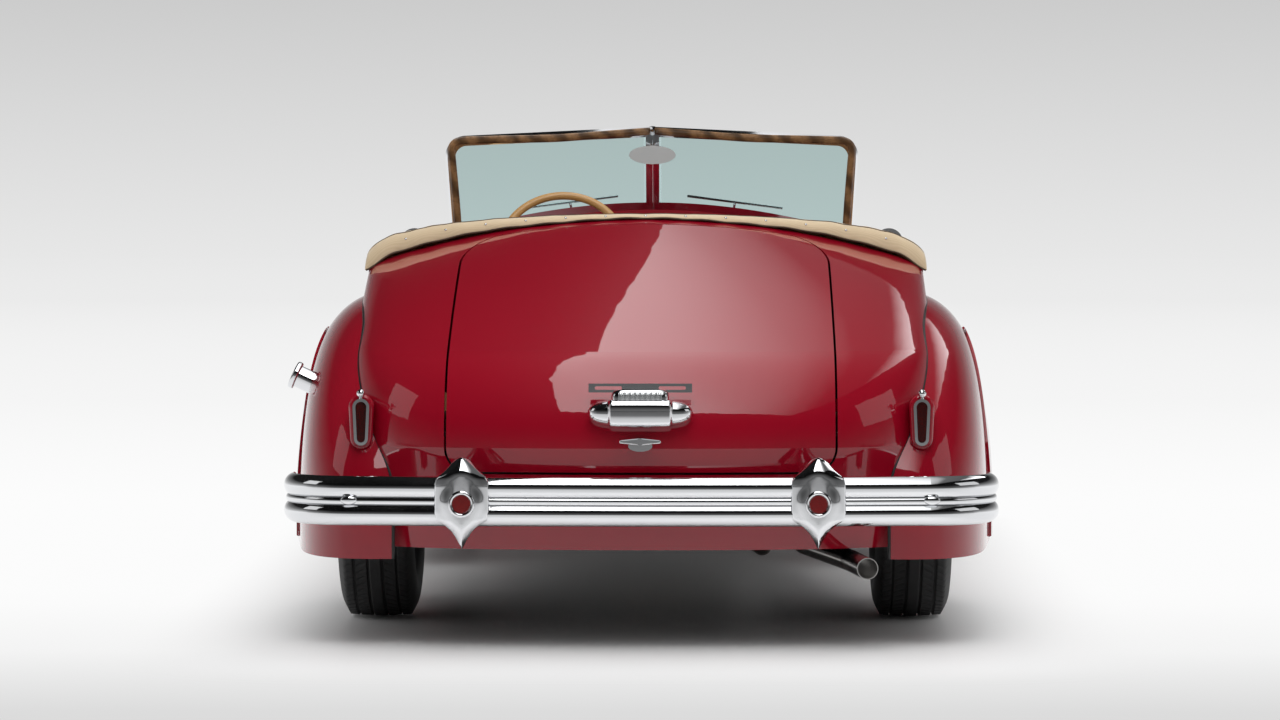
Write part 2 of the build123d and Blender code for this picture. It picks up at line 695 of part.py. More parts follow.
def wheel_and_tyre():
    """A disc wheel with its hub cap, and its tyre, about the Z axis with the outside up."""
    half = rim_width / 2
    flange_r = bead_radius + rim_flange
    barrel_r = bead_radius - rim_wall - 4
    lip = half - 8
    bore = spindle_radius + running_gap
    cap_edge = (hubcap_radius, 0, 44.0)
    outline = Wire(
        [
            *Polyline(
                (bore, 0, -36),
                (bore, 0, spindle_reach + 6),
                (0, 0, spindle_reach + 6),
                (0, 0, half + 6),
            ).edges(),
            ThreePointArc((0, 0, half + 6), (hubcap_radius * 0.6, 0, half - 4), cap_edge),
            *Polyline(
                cap_edge,
                (hubcap_radius, 0, 36),
                (barrel_r, 0, 30),
                (barrel_r, 0, half),
                (flange_r, 0, half),
                (flange_r, 0, lip),
                (bead_radius, 0, lip),
                (bead_radius, 0, -lip),
                (flange_r, 0, -lip),
                (flange_r, 0, -half),
                (barrel_r, 0, -half),
                (barrel_r, 0, 20),
                (hub_radius, 0, 20),
                (hub_radius, 0, -36),
                (bore, 0, -36),
            ).edges(),
        ]
    )
    wheel = revolve(make_face(outline), Axis.Z)
    bead = bead_radius + seat_gap
    side = lip - seat_gap
    belt = tread_width / 2
    shoulder_r = tyre_radius - 5
    top = [(shoulder_r, 0, belt)]
    for centre in (58.0, 20.0, -20.0, -58.0):
        rise = tyre_radius - 4 * (centre / belt) ** 2
        top += [(rise, 0, centre + groove_width / 2), (rise - groove_depth, 0, centre + groove_width / 2)]
        top += [(rise - groove_depth, 0, centre - groove_width / 2), (rise, 0, centre - groove_width / 2)]
    top.append((shoulder_r, 0, -belt))
    wide = tyre_width / 2
    wall_r = (tyre_radius + bead_radius) / 2
    tyre_outline = Wire(
        [
            *Polyline(
                (flange_r + 1, 0, -half - 2),
                (flange_r + 1, 0, -side),
                (bead, 0, -side),
                (bead, 0, side),
                (flange_r + 1, 0, side),
                (flange_r + 1, 0, half + 2),
            ).edges(),
            ThreePointArc((flange_r + 1, 0, half + 2), (wall_r, 0, wide), (shoulder_r, 0, belt)),
            *Polyline(*top).edges(),
            ThreePointArc((shoulder_r, 0, -belt), (wall_r, 0, -wide), (flange_r + 1, 0, -half - 2)),
        ]
    )
    tyre = revolve(make_face(tyre_outline), Axis.Z)
    return wheel, tyre


def make_wheels():
    """Four wheels with their tyres."""
    wheel, tyre = wheel_and_tyre()
    for end, axle_y, track in (("rear", rear_axle_y, rear_track), ("front", front_axle_y, front_track)):
        place = Pos(track / 2, axle_y, wheel_z) * Rot(0, 90, 0)
        for kind, piece in (("wheel", wheel), ("tyre", tyre)):
            nodes[f"{kind}_{end}_right"] = place * piece
            nodes[f"{kind}_{end}_left"] = mirrored(place * piece)


def bumper_bar(end_y, facing, height):
    """A bowed bumper bar with two rolls and a rib, wrapped forward or back at its ends."""
    y = end_y + facing * (bumper_depth + 8)
    knee_x, knee_y = 742.0, y + facing * bumper_bow
    tip = Vector(bumper_half_width, y + facing * bumper_wrap, height)
    bow = ThreePointArc((-knee_x, knee_y, height), (0, y, height), (knee_x, knee_y, height))
    end = TangentArc((knee_x, knee_y, height), tip, tangent=bow % 1)
    start = mirror(end, about=Plane.YZ).edge()
    path = Wire([start, bow, end])
    tangent = end % 1
    section_plane = Plane(tip, x_dir=tangent.cross(Vector(0, 0, -1)) * facing, z_dir=tangent)
    half = bumper_height / 2
    roll = bumper_depth + 2
    with BuildSketch(section_plane) as profile:
        with BuildLine():
            Polyline((-4, half), (0, half - 4), (0, 4 - half), (-4, -half))
            ThreePointArc((-4, half), (-roll, half * 0.6), (-bumper_depth * 0.7, 10))
            ThreePointArc((-bumper_depth * 0.7, 10), (-bumper_depth * 0.9, 0), (-bumper_depth * 0.7, -10))
            ThreePointArc((-bumper_depth * 0.7, -10), (-roll, -half * 0.6), (-4, -half))
        make_face()
    return sweep(profile.sketch, path)


def make_bumpers():
    """Bumper bars front and rear, their irons, the rear guards and reflectors."""
    rear = bumper_bar(rear_end_y + 4, 1.0, bumper_z)
    front = bumper_bar(front_end_y - 4, -1.0, bumper_z + 20)
    nodes["rear_bumper"] = rear
    nodes["front_bumper"] = front

    face_y = rear_end_y + 5
    high, low, wide = guard_top_z, guard_bottom_z, guard_half_width
    # Outline of a guard: share of its half width, height
    right_side = (
        (0.26, high - 6),
        (0.40, high - 19),
        (0.66, high - 39),
        (0.94, high - 54),
        (1.0, high - 72),
        (1.0, low + 96),
        (0.93, low + 78),
        (0.52, low + 60),
        (0.26, low + 34),
        (0.10, low + 6),
    )
    outline = [(guard_x + wide * share, z) for share, z in right_side]
    outline += [(guard_x - wide * share, z) for share, z in reversed(right_side)]
    with BuildSketch(Plane.XZ.offset(-face_y)) as shield:
        with BuildLine():
            Polyline(*outline)
            ThreePointArc(outline[-1], (guard_x, high), outline[0])
        make_face()
    guard = extrude(shield.sketch, guard_depth, dir=(0, 1, 0))
    rim = guard.faces().sort_by(Axis.Y)[0].edges()
    guard = chamfer(rim, 7.0) - rear
    guard = guard.solids().sort_by(SortBy.VOLUME)[-1]
    nodes["bumper_guards"] = on_both_sides(guard)
    reflector = rod((guard_x, face_y - 5, 382), (guard_x, face_y - seat_gap, 382), reflector_radius)
    nodes["red_lenses"] = on_both_sides(reflector)

    iron_x0, iron_x1 = rail_inside_x + 5, rail_inside_x + rail_width - 5
    iron_top_z = rail_kick_z - 33 - rail_height / 2
    rear_iron = box(iron_x0, iron_x1, rear_end_y + 30, rear_end_y + 260, 374, iron_top_z)
    iron_y = (front_end_y - 330 + seat_gap, front_end_y - 28)
    front_iron = box(iron_x0, iron_x1, *iron_y, rail_front_z + 5, rail_front_z + 90)
    irons = []
    for iron, bar in ((rear_iron, rear), (front_iron, front)):
        piece = (iron - bar - guard).solids().sort_by(SortBy.VOLUME)[-1]
        irons += on_both_sides(piece)
    nodes["bumper_irons"] = irons
    return box(iron_x0 - 6, iron_x1 + 6, rear_end_y, rear_end_y + 300, 366, rail_kick_z - 70)


def make_fittings(tail_outer, fender_outer, front_fender_outer):
    """Lamps, fuel filler, exhaust, and the fittings of the boot lid."""
    lens_y = rear_end_y + 256
    height, width = tail_lens_height / 2, tail_lens_width / 2

    def pill(margin, y0, y1):
        ends = []
        for share, side in ((1.0, 1), (tail_lens_taper, -1)):
            radius = width * share
            place = Pos(tail_lamp_x, tail_lamp_z + side * (height - radius))
            ends.append(place * Circle(radius + margin))
        face = Plane.XZ.offset(-y0) * make_hull([edge for end in ends for edge in end.edges()])
        return extrude(face, y1 - y0, dir=(0, 1, 0))

    pod = pill(19.0, lens_y + 16, lens_y + 330)
    pod = fillet(pod.faces().sort_by(Axis.Y)[0].edges(), 9.0) - tail_outer - fender_outer
    pod = pod.solids().sort_by(Axis.Y)[0]
    bezel = pill(8.0, lens_y + 4, lens_y + 16 - seat_gap) - pill(seat_gap, lens_y, lens_y + 30)
    ball_z = tail_lamp_z + height + 22
    bezel = bezel + Pos(tail_lamp_x, lens_y + 6, ball_z) * Sphere(11.0)
    bezel = bezel + rod((tail_lamp_x, lens_y + 10, ball_z - 16), (tail_lamp_x, lens_y + 10, ball_z), 5.0)
    bezel = bezel - pod
    nodes["red_lenses"] += on_both_sides(pill(0.0, lens_y, lens_y + 16 - seat_gap))

    lamp_y = front_axle_y + 592

    def lamp_disc(back, front, radius):
        return rod((headlamp_x, lamp_y + back, headlamp_z), (headlamp_x, lamp_y + front, headlamp_z), radius)

    bucket = lamp_disc(-280, 0, headlamp_radius)
    bucket = (bucket - front_fender_outer).solids().sort_by(Axis.Y)[-1]
    nodes["lamp_pods"] = [*on_both_sides(pod), *on_both_sides(bucket)]
    rim = lamp_disc(seat_gap, 14, headlamp_radius + 6)
    hole = lamp_disc(-10, 30, headlamp_radius - 8)
    nodes["lamp_rims"] = [*on_both_sides(bezel), *on_both_sides(rim - hole)]
    lens = lamp_disc(seat_gap, 20, headlamp_radius - 8 - seat_gap)
    lens = fillet(lens.faces().sort_by(Axis.Y)[-1].edges(), 10.0)
    nodes["headlamp_lenses"] = on_both_sides(lens)

    lean = radians(25.0)
    out = Vector(-cos(lean), 0, sin(lean))
    foot = Vector(-(fender_half_width - 76), filler_y, filler_z - 20)
    neck = rod(foot, foot + out * 76, filler_radius - 8) - mirrored(fender_outer)
    neck = neck.solids().sort_by(Axis.X)[0]
    cap = rod(foot + out * (76 + seat_gap), foot + out * 92, filler_radius)
    cap = fillet(cap.edges().filter_by(GeomType.CIRCLE), 5.0)
    nodes["fuel_filler"] = [*neck.solids(), *cap.solids()]

    pipe_x = rail_inside_x - 60
    mouth = Vector(583, rear_end_y + 62, 214)
    low_z = 176.0
    line = [
        mouth,
        Vector(548, rear_end_y + 300, 218),
        Vector(430, rear_end_y + 480, 250),
        Vector(pipe_x, rear_end_y + 640, 330),
        Vector(pipe_x, rear_axle_y - 180, 446),
        Vector(pipe_x, rear_axle_y + 90, 446),
        Vector(pipe_x, rear_axle_y + 280, low_z),
        Vector(pipe_x - 30, rear_axle_y + 600, low_z),
        Vector(pipe_x - 30, cowl_front_y + 210, low_z),
        Vector(188, cowl_front_y + 420, 420),
    ]
    pipe = rod(line[0], line[1], exhaust_radius)
    for start, end in zip(line[1:-1], line[2:]):
        pipe = pipe + rod(start, end, exhaust_radius) + Pos(*start) * Sphere(exhaust_radius)
    muffler = rod((pipe_x - 30, rear_axle_y + 660, 220), (pipe_x - 30, rear_axle_y + 1280, 220), 68)
    inside = rod(mouth, mouth + (line[1] - mouth).normalized() * 160, exhaust_radius - exhaust_wall)
    hanger_y, member_z = rear_axle_y + 1500, rail_low_z - 45
    hanger = box(pipe_x - 42, pipe_x - 18, hanger_y - 15, hanger_y + 15, low_z, member_z - seat_gap)
    nodes["exhaust"] = pipe + muffler + hanger - inside

    lamp_z, bar_z, handle_z = 612.0, 676.5, 540.0
    lobes = Wire([EllipticalCenterArc((0, 0), 131, 34, 0, arc_size=180), Line((-131, 0), (131, 0))])
    housing = Pos(0, tail_y - 6, lamp_z) * revolve(make_face(lobes), Axis.X)
    block = box(-76, 76, tail_y - 50, tail_y + 60, lamp_z - 32, lamp_z + 28)
    block = fillet(block.faces().sort_by(Axis.Y)[0].edges(), 16.0)
    window = Polygon((-68, lamp_z), (68, lamp_z), (60, lamp_z + 56), (-60, lamp_z + 56), align=None)
    window = extrude(Plane.XZ.offset(38 - tail_y) * window, 60.0, dir=(0, 1, 0))
    housing = housing + block + fillet(window.faces().sort_by(Axis.Y)[0].edges(), 9.0)
    bar = box(-133, 133, tail_y - 6, tail_y, bar_z - 11.5, bar_z + 11.5)
    for side in (-1, 1):
        slot = Plane.XZ.offset(-tail_y) * (Pos(82 * side, bar_z) * SlotOverall(70, 9))
        bar = bar - extrude(slot, 20.0, both=True)
        bar = bar + rod((30 * side, tail_y - 12, bar_z), (30 * side, tail_y - 5, bar_z), 7)
    plate_lamp = housing + bar - tail_outer
    rounds = [Pos(x, handle_z) * Circle(radius) for x, radius in ((-49, 4), (0, 9), (49, 4))]
    grip = Plane.XZ.offset(50 - tail_y) * make_hull([edge for disc in rounds for edge in disc.edges()])
    handle = extrude(grip, 12.0, dir=(0, 1, 0))
    handle = chamfer(handle.faces().sort_by(Axis.Y)[0].edges(), 2.5)
    handle = handle + rod((0, tail_y - 53, handle_z), (0, tail_y + 20, handle_z), 9)
    plate = Plane.XZ.offset(12 - tail_y) * (Pos(0, handle_z - 13) * Ellipse(31, 14))
    handle = handle + extrude(plate, 50.0, dir=(0, 1, 0)) - tail_outer
    nodes["boot_lid_fittings"] = [*plate_lamp.solids(), *handle.solids()]


def make_cockpit():
    """Boot cover, seats, firewall, steering, windshield, wipers and mirrors."""
    cover_y = deck_front_y + seat_gap
    rim_z = belt_z + 1
    half = body_half_width - 4
    # Boot cover sections: station, height of the crown, of the shoulder, of the edge
    cover_rows = (
        (cover_y, 1127.0, 1062.0, 1000.0),
        (cover_y + 150, 1132.0, 1068.0, 1004.0),
        (cover_y + 310, 1112.0, 1050.0, 1000.0),
    )
    turn = half - 84
    sections = []
    for y, crown, shoulder, edge in cover_rows:
        bulge = (edge + shoulder) / 2 + 12
        roll = ThreePointArc((half, y, edge), (half - 24, y, bulge), (turn, y, shoulder))
        sections.append(
            closed_face(
                ThreePointArc((-turn, y, shoulder), (0, y, crown), (turn, y, shoulder)),
                roll,
                mirror(roll, about=Plane.YZ).edge(),
                Line((half, y, edge), (half, y, rim_z)),
                Line((half, y, rim_z), (-half, y, rim_z)),
                Line((-half, y, rim_z), (-half, y, edge)),
            )
        )
    nodes["boot_cover"] = loft(sections)

    floor_top = floor_z + floor_thickness + seat_gap
    slot_half = tunnel_half_width + 4
    tunnel_slot = box(-slot_half, slot_half, rear_end_y, front_end_y, 0, tunnel_top_z + seat_gap)
    # Seats: name, half width, cushion rear, cushion front, cushion height, back height, lean
    seats = (
        ("front", 590.0, rear_axle_y + 960, rear_axle_y + 1450, 590.0, 965.0, 90.0),
        ("rear", 570.0, bulkhead_y + 120, bulkhead_y + 520, 600.0, 955.0, 90.0),
    )
    for name, wide, back_y, front_y, high, top, lean in seats:
        cushion = box(-wide, wide, back_y, front_y, floor_top, high)
        cushion = fillet(cushion.faces().sort_by(Axis.Z)[-1].edges(), 45.0) - tunnel_slot
        base_z = tunnel_top_z + 8
        outline = Polygon(
            (back_y - 94, base_z),
            (back_y - seat_gap, base_z),
            (back_y - lean + 10, top),
            (back_y - lean - 92, top),
            align=None,
        )
        back = extrude(Plane.YZ.offset(-wide) * outline, 2 * wide, dir=(1, 0, 0))
        back = fillet(back.faces().sort_by(Axis.Z)[-1].edges(), 36.0)
        nodes[f"{name}_seat"] = [*cushion.solids(), *back.solids()]

    inset = side_wall / 2 + seat_gap
    wall_face = dome_section(cowl_front_y - 10.5, *HOOD_SECTIONS[1][1:], inset, floor_top)
    firewall = extrude(wall_face, 10.0, dir=(0, 1, 0))
    arch_half = tunnel_half_width + 1
    firewall = firewall - box(
        -arch_half, arch_half, cowl_front_y - 40, cowl_front_y + 40, 0, tunnel_top_z + 1
    )

    rake = radians(column_rake)
    down = Vector(0, cos(rake), -sin(rake))
    centre = Vector(steer_wheel_x, steer_wheel_y, steer_wheel_z)
    wheel_plane = Plane(centre, x_dir=(1, 0, 0), z_dir=down)
    rim = wheel_plane * Torus(steer_wheel_radius, steer_rim_radius)
    hub = rod(centre - down * 18, centre + down * 34, 42)
    wheel = rim + hub
    for angle in (90.0, 210.0, 330.0):
        spoke = Vector(cos(radians(angle)), sin(radians(angle)), 0) * steer_wheel_radius
        spoke_end = wheel_plane.from_local_coords(spoke)
        wheel = wheel + rod(centre, spoke_end, 7)
    wheel = wheel + rod(centre, centre + down * 180, 11)
    nodes["steering_wheel"] = wheel
    column_end = (cowl_front_y - 10.5 - seat_gap - centre.Y) / cos(rake) - column_radius * tan(rake)
    column = rod(centre + down * 42, centre + down * column_end, column_radius)
    column = column - rod(centre, centre + down * 190, 11 + running_gap)
    nodes["steering_column"] = column
    nodes["cowl"] = [*nodes["cowl"].solids(), *firewall.solids()]

    base = Vector(0, glass_base_y, glass_base_z)
    corner = Vector(glass_corner_x, glass_base_y - glass_corner_sweep, glass_corner_z)
    top = Vector(0, glass_base_y - glass_rake, glass_top_z)
    normal = (corner - base).cross(top - base)
    reach = glass_top_corner_x * normal.X + (glass_top_corner_z - glass_base_z) * normal.Z
    top_corner = Vector(glass_top_corner_x, glass_base_y - reach / normal.Y, glass_top_corner_z)
    pane = Plane(base, x_dir=corner - base, z_dir=normal)
    sink = (base - top).normalized() * 70
    points = [pane.to_local_coords(p) for p in (base + sink, corner + sink, top_corner, top)]
    outline = Polygon(*[(p.X, p.Y) for p in points], align=None)
    tip = points[2]
    round_corner = outline.vertices().sort_by_distance(Vector(tip.X, tip.Y, 0))[0]
    outline = fillet(round_corner, glass_corner_radius)
    window = offset(outline, -frame_width, kind=Kind.INTERSECTION)
    scuttle = dome(HOOD_SECTIONS[:2], -seat_gap, sill_z, 60.0)
    rail_top = dome(HOOD_SECTIONS[:2], -frame_width, sill_z, 60.0)
    plate = extrude(pane * outline, frame_depth / 2, both=True) & box(0, 900, -3000, 3000, 0, 2000)
    hole = extrude(pane * window, frame_depth, both=True) - rail_top
    frame = (plate - hole) - scuttle
    post = rod(base + sink, top, frame_width / 2 + 1) - scuttle
    half_frame = frame + mirrored(frame)
    nodes["windshield_frame"] = half_frame + post
    glass = extrude(pane * offset(window, -seat_gap), glass_thickness / 2, both=True) - rail_top
    nodes["windshield_glass"] = on_both_sides(glass.solids().sort_by(SortBy.VOLUME)[-1])

    def on_pane(along, up, ahead):
        return pane.from_local_coords(Vector(along, up, ahead))

    up_sign = 1.0 if points[3].Y > points[0].Y else -1.0
    ahead = -1.0 if normal.Y < 0 else 1.0
    blade = rod(on_pane(110, up_sign * 62, ahead * 20), on_pane(430, up_sign * 78, ahead * 20), 4)
    arm = rod(on_pane(270, up_sign * 70, ahead * 20), on_pane(250, -up_sign * 40, ahead * 34), 4)
    arm = arm + rod(on_pane(250, up_sign * 16, ahead * 30), on_pane(250, -up_sign * 60, ahead * 36), 9)
    wiper = blade + arm - scuttle - nodes["windshield_frame"]
    nodes["wipers"] = on_both_sides(wiper.solids().sort_by(SortBy.VOLUME)[-1])

    glass_height = glass_top_z - glass_base_z
    mirror_y, mirror_z = glass_base_y - 168, glass_base_z + glass_height * mirror_share
    stalk_z = glass_base_z + glass_height * mirror_stalk_share
    glass_face = Plane.XZ.offset(-mirror_y) * (Pos(0, mirror_z) * Ellipse(73, 29))
    inside_mirror = extrude(glass_face, 14.0, dir=(0, 1, 0))
    stalk = rod((0, mirror_y + 6, mirror_z), (0, glass_base_y - 100, stalk_z), 6)
    inside_mirror = inside_mirror + stalk
    nodes["inside_mirror"] = inside_mirror - nodes["windshield_frame"]
    nodes["inside_mirror"] = nodes["inside_mirror"].solids().sort_by(SortBy.VOLUME)[-1]

    mirror_at = Vector(body_half_width - 40, door_front_y - 190, 1040)
    head = rod(mirror_at, mirror_at + Vector(0, 26, 0), 44)
    head = fillet(head.faces().sort_by(Axis.Y)[-1].edges(), 18.0)
    mirror_foot = Vector(body_half_width - 73, mirror_at.Y + 13, 945)
    head = head + rod(mirror_at + Vector(0, 13, 0), mirror_foot, 7)
    head = (head - nodes["door_right"]).solids().sort_by(SortBy.VOLUME)[-1]
    nodes["door_mirror_right"] = head
    nodes["door_mirror_left"] = mirrored(head)


def main():
    """Build every piece and write one file for each."""
    tail_outer = make_body()
    make_hood()
    fender_outer, front_fender_outer = make_fenders(tail_outer)
    make_chassis()
    make_wheels()
    iron_slot = make_bumpers()
    nodes["rear_body"] = nodes["rear_body"] - iron_slot - mirrored(iron_slot)
    make_fittings(tail_outer, fender_outer, front_fender_outer)
    make_cockpit()
    os.makedirs("parts", exist_ok=True)
    for name, shape in nodes.items():
        solids = shape if isinstance(shape, list) else shape.solids()
        export_step(Compound(children=list(solids)), f"parts/{name}.step")


main()
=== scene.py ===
"""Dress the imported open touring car: paint, chrome, canvas, rubber, glass and the studio it stands in.

The frame is +Y forward, +X to the car's right and +Z up, in metres, with the origin on the floor under the
middle of the car. Every new piece is a surface worked out with numpy in that frame.
"""

from __future__ import annotations

import json
import logging
import math
from dataclasses import dataclass, field
from enum import Enum

import bmesh
import bpy
import numpy as np
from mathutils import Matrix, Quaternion, Vector

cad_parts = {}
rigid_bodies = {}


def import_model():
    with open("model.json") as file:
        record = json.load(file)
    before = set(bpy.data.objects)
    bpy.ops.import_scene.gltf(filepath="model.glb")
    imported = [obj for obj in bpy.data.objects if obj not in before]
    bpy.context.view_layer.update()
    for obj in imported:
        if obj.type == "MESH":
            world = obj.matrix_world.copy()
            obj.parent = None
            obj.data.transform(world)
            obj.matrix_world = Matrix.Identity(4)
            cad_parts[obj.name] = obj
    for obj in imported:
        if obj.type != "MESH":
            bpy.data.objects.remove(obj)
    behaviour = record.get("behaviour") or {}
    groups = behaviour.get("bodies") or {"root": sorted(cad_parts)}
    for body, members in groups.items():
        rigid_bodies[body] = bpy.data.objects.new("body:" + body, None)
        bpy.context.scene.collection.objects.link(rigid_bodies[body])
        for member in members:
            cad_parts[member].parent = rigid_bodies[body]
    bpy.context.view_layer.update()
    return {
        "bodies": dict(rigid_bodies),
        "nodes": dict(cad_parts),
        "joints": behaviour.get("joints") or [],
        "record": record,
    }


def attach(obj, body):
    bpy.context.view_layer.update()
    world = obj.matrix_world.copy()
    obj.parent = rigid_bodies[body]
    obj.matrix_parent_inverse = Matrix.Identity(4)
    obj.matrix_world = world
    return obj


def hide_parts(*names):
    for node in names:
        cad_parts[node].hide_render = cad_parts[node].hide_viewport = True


LOG = logging.getLogger("convertible")
WELD_GAP = 1e-6
SLIVER = 1e-7
Array = np.ndarray
Material = bpy.types.Material
Object = bpy.types.Object
Socket = bpy.types.NodeSocket
Colour = tuple[float, float, float]
Point = tuple[float, float, float]
Span = tuple[float, float]
Table = tuple[Span, ...]
UP: Point = (0.0, 0.0, 1.0)
FORWARD: Point = (0.0, 1.0, 0.0)
BACKWARD: Point = (0.0, -1.0, 0.0)
RIGHTWARD: Point = (1.0, 0.0, 0.0)
LEFTWARD: Point = (-1.0, 0.0, 0.0)


class Place(Enum):
    """A named place on the car."""

    @property
    def word(self) -> str:
        """The place's name in piece and body names."""
        return self.name.lower()


class Side(Place):
    """A side of the car, with the sign of X there."""

    LEFT = -1.0
    RIGHT = 1.0


class End(Place):
    """An end of the car, with its axle's place along Y and half its track."""

    REAR = (-1.438, 0.740)
    FRONT = (1.788, 0.735)


@dataclass
class Patch:
    """A grid of points that becomes a sheet of four-sided faces."""

    points: Array
    wrap_rows: bool = False
    wrap_cols: bool = False

    def faces(self, first: int) -> Array:
        """The corner numbers of every face.

        Args:
            first: the number of the grid's first point in the whole mesh.

        Returns:
            Rows of four numbers.
        """
        rows, cols = self.points.shape[:2]
        index = first + np.arange(rows * cols).reshape(rows, cols)
        if self.wrap_rows:
            index = np.concatenate([index, index[:1]], axis=0)
        if self.wrap_cols:
            index = np.concatenate([index, index[:, :1]], axis=1)
        corners = (index[:-1, :-1], index[1:, :-1], index[1:, 1:], index[:-1, 1:])
        return np.stack(corners, axis=-1).reshape(-1, 4)

    def mirrored(self) -> "Patch":
        """The same grid on the other side of the car."""
        return Patch(self.points * (-1.0, 1.0, 1.0), self.wrap_rows, self.wrap_cols)

    def pair(self) -> list["Patch"]:
        """The grid and its mirror image."""
        return [self, self.mirrored()]


def unit(vector: Array) -> Array:
    """Scale vectors along the last axis to length 1."""
    return vector / np.linalg.norm(vector, axis=-1, keepdims=True)


def grid(x: Array, y: Array, z: Array) -> Array:
    """Stretch three coordinates to one shape and stack them into points."""
    return np.stack(np.broadcast_arrays(x, y, z), axis=-1)


def circle(count: int) -> Array:
    """Even angles once round, without the closing one."""
    return np.linspace(0.0, 2 * np.pi, count, endpoint=False)


def crowded(half: float, count: int) -> Array:
    """Places from -half to half that crowd towards both ends."""
    return half * np.sin(np.linspace(-0.5, 0.5, count) * np.pi)


def pointed(rings: Array, first: Array, last: Array) -> Array:
    """Close a row of rings with a point at each end."""
    tips = [np.broadcast_to(tip, rings.shape[1:])[None] for tip in (first, last)]
    return np.concatenate([tips[0], rings, tips[1]], axis=0)


def vectors(items: bpy.types.bpy_prop_collection, key: str) -> Array:
    """Read one vector from each item of a mesh.

    Args:
        items: the mesh's points or normals.
        key: the name of the vector on each item.

    Returns:
        Rows of three numbers.
    """
    flat = np.empty(len(items) * 3, dtype=np.float32)
    items.foreach_get(key, flat)
    return flat.reshape(-1, 3).astype(float)


def soft(value: Array, power: float) -> Array:
    """Raise to a low power and keep the sign."""
    return np.sign(value) * np.abs(value) ** power


def thicken(obj: Object, thickness: float, offset: float) -> None:
    """Give a sheet its thickness, outwards for an offset of 1 and inwards for -1."""
    shell = obj.modifiers.new("thickness", "SOLIDIFY")
    shell.thickness, shell.offset = thickness, offset


def weld(name: str, patches: list[Patch], facing: Point | None = None) -> Object:
    """Put grids into one smooth mesh, with poles and seams closed and faces outwards.

    Args:
        name: the piece's name.
        patches: the grids.
        facing: for open sheets, a direction that the faces look along.

    Returns:
        The new object, linked into the scene.
    """
    starts = np.cumsum([0] + [patch.points.shape[0] * patch.points.shape[1] for patch in patches])
    points = np.concatenate([patch.points.reshape(-1, 3) for patch in patches])
    faces = np.concatenate([patch.faces(int(start)) for patch, start in zip(patches, starts)])
    mesh = bpy.data.meshes.new(name)
    mesh.from_pydata(points.tolist(), [], faces.tolist())
    work = bmesh.new()
    work.from_mesh(mesh)
    bmesh.ops.remove_doubles(work, verts=work.verts, dist=WELD_GAP)
    bmesh.ops.dissolve_degenerate(work, edges=work.edges, dist=SLIVER)
    bmesh.ops.recalc_face_normals(work, faces=work.faces)
    if facing is not None:
        look = sum(face.calc_area() * face.normal.dot(facing) for face in work.faces)
        if look < 0.0:
            bmesh.ops.reverse_faces(work, faces=work.faces)
    work.to_mesh(mesh)
    work.free()
    mesh.polygons.foreach_set("use_smooth", np.ones(len(mesh.polygons), dtype=bool))
    obj = bpy.data.objects.new(name, mesh)
    bpy.context.collection.objects.link(obj)
    return obj


def tube(path: Array, radius: float, up: Point, sides: int = 10, closed: bool = False) -> Patch:
    """Carry a circle along a path: each ring stands square to the path, with its first point towards up.

    Args:
        path: the points along the middle.
        radius: the circle's radius.
        up: a direction that is never along the path.
        sides: points around.
        closed: whether the path joins its own start.

    Returns:
        The tube, with pointed ends where it is open.
    """
    if closed:
        along = np.roll(path, -1, axis=0) - np.roll(path, 1, axis=0)
    else:
        along = np.gradient(path, axis=0)
    along = unit(along)
    across = unit(np.cross(along, np.asarray(up)))
    lift = np.cross(across, along)
    turn = circle(sides)[None, :, None]
    rings = path[:, None] + radius * (np.cos(turn) * lift[:, None] + np.sin(turn) * across[:, None])
    if not closed:
        rings = pointed(rings, path[0], path[-1])
    return Patch(rings, closed, True)


def lathe(profile: Array, centre: Point, axis: Point, sides: int = 48) -> Patch:
    """Turn a profile about an axis.

    Args:
        profile: rows of radius and height along the axis.
        centre: where the height is 0.
        axis: the axis's direction.
        sides: points around.

    Returns:
        The turned grid.
    """
    spin = unit(np.asarray(axis, dtype=float))
    helper = np.array(UP if abs(spin[2]) < 0.9 else RIGHTWARD)
    first = unit(np.cross(helper, spin))
    second = np.cross(spin, first)
    turn = circle(sides)[None, :, None]
    radius, height = profile[:, 0][:, None, None], profile[:, 1][:, None, None]
    points = np.asarray(centre) + height * spin + radius * (np.cos(turn) * first + np.sin(turn) * second)
    return Patch(points, False, True)


def dome(radius: float, height: float, rim: float = 0.0, rows: int = 9) -> Array:
    """A profile for lathe: a quarter ellipse from the crown down to the edge, then an upright rim."""
    turn = np.linspace(0.0, np.pi / 2, rows)
    profile = np.stack([radius * np.sin(turn), height * np.cos(turn)], axis=1)
    return np.concatenate([profile, [(radius, -rim)]]) if rim else profile


def ring(mean: float, thick: float, rows: int = 16) -> Array:
    """A profile for lathe: a closed circle about a mean radius."""
    turn = np.linspace(0.0, 2 * np.pi, rows + 1)
    return np.stack([mean + thick * np.cos(turn), thick * np.sin(turn)], axis=1)


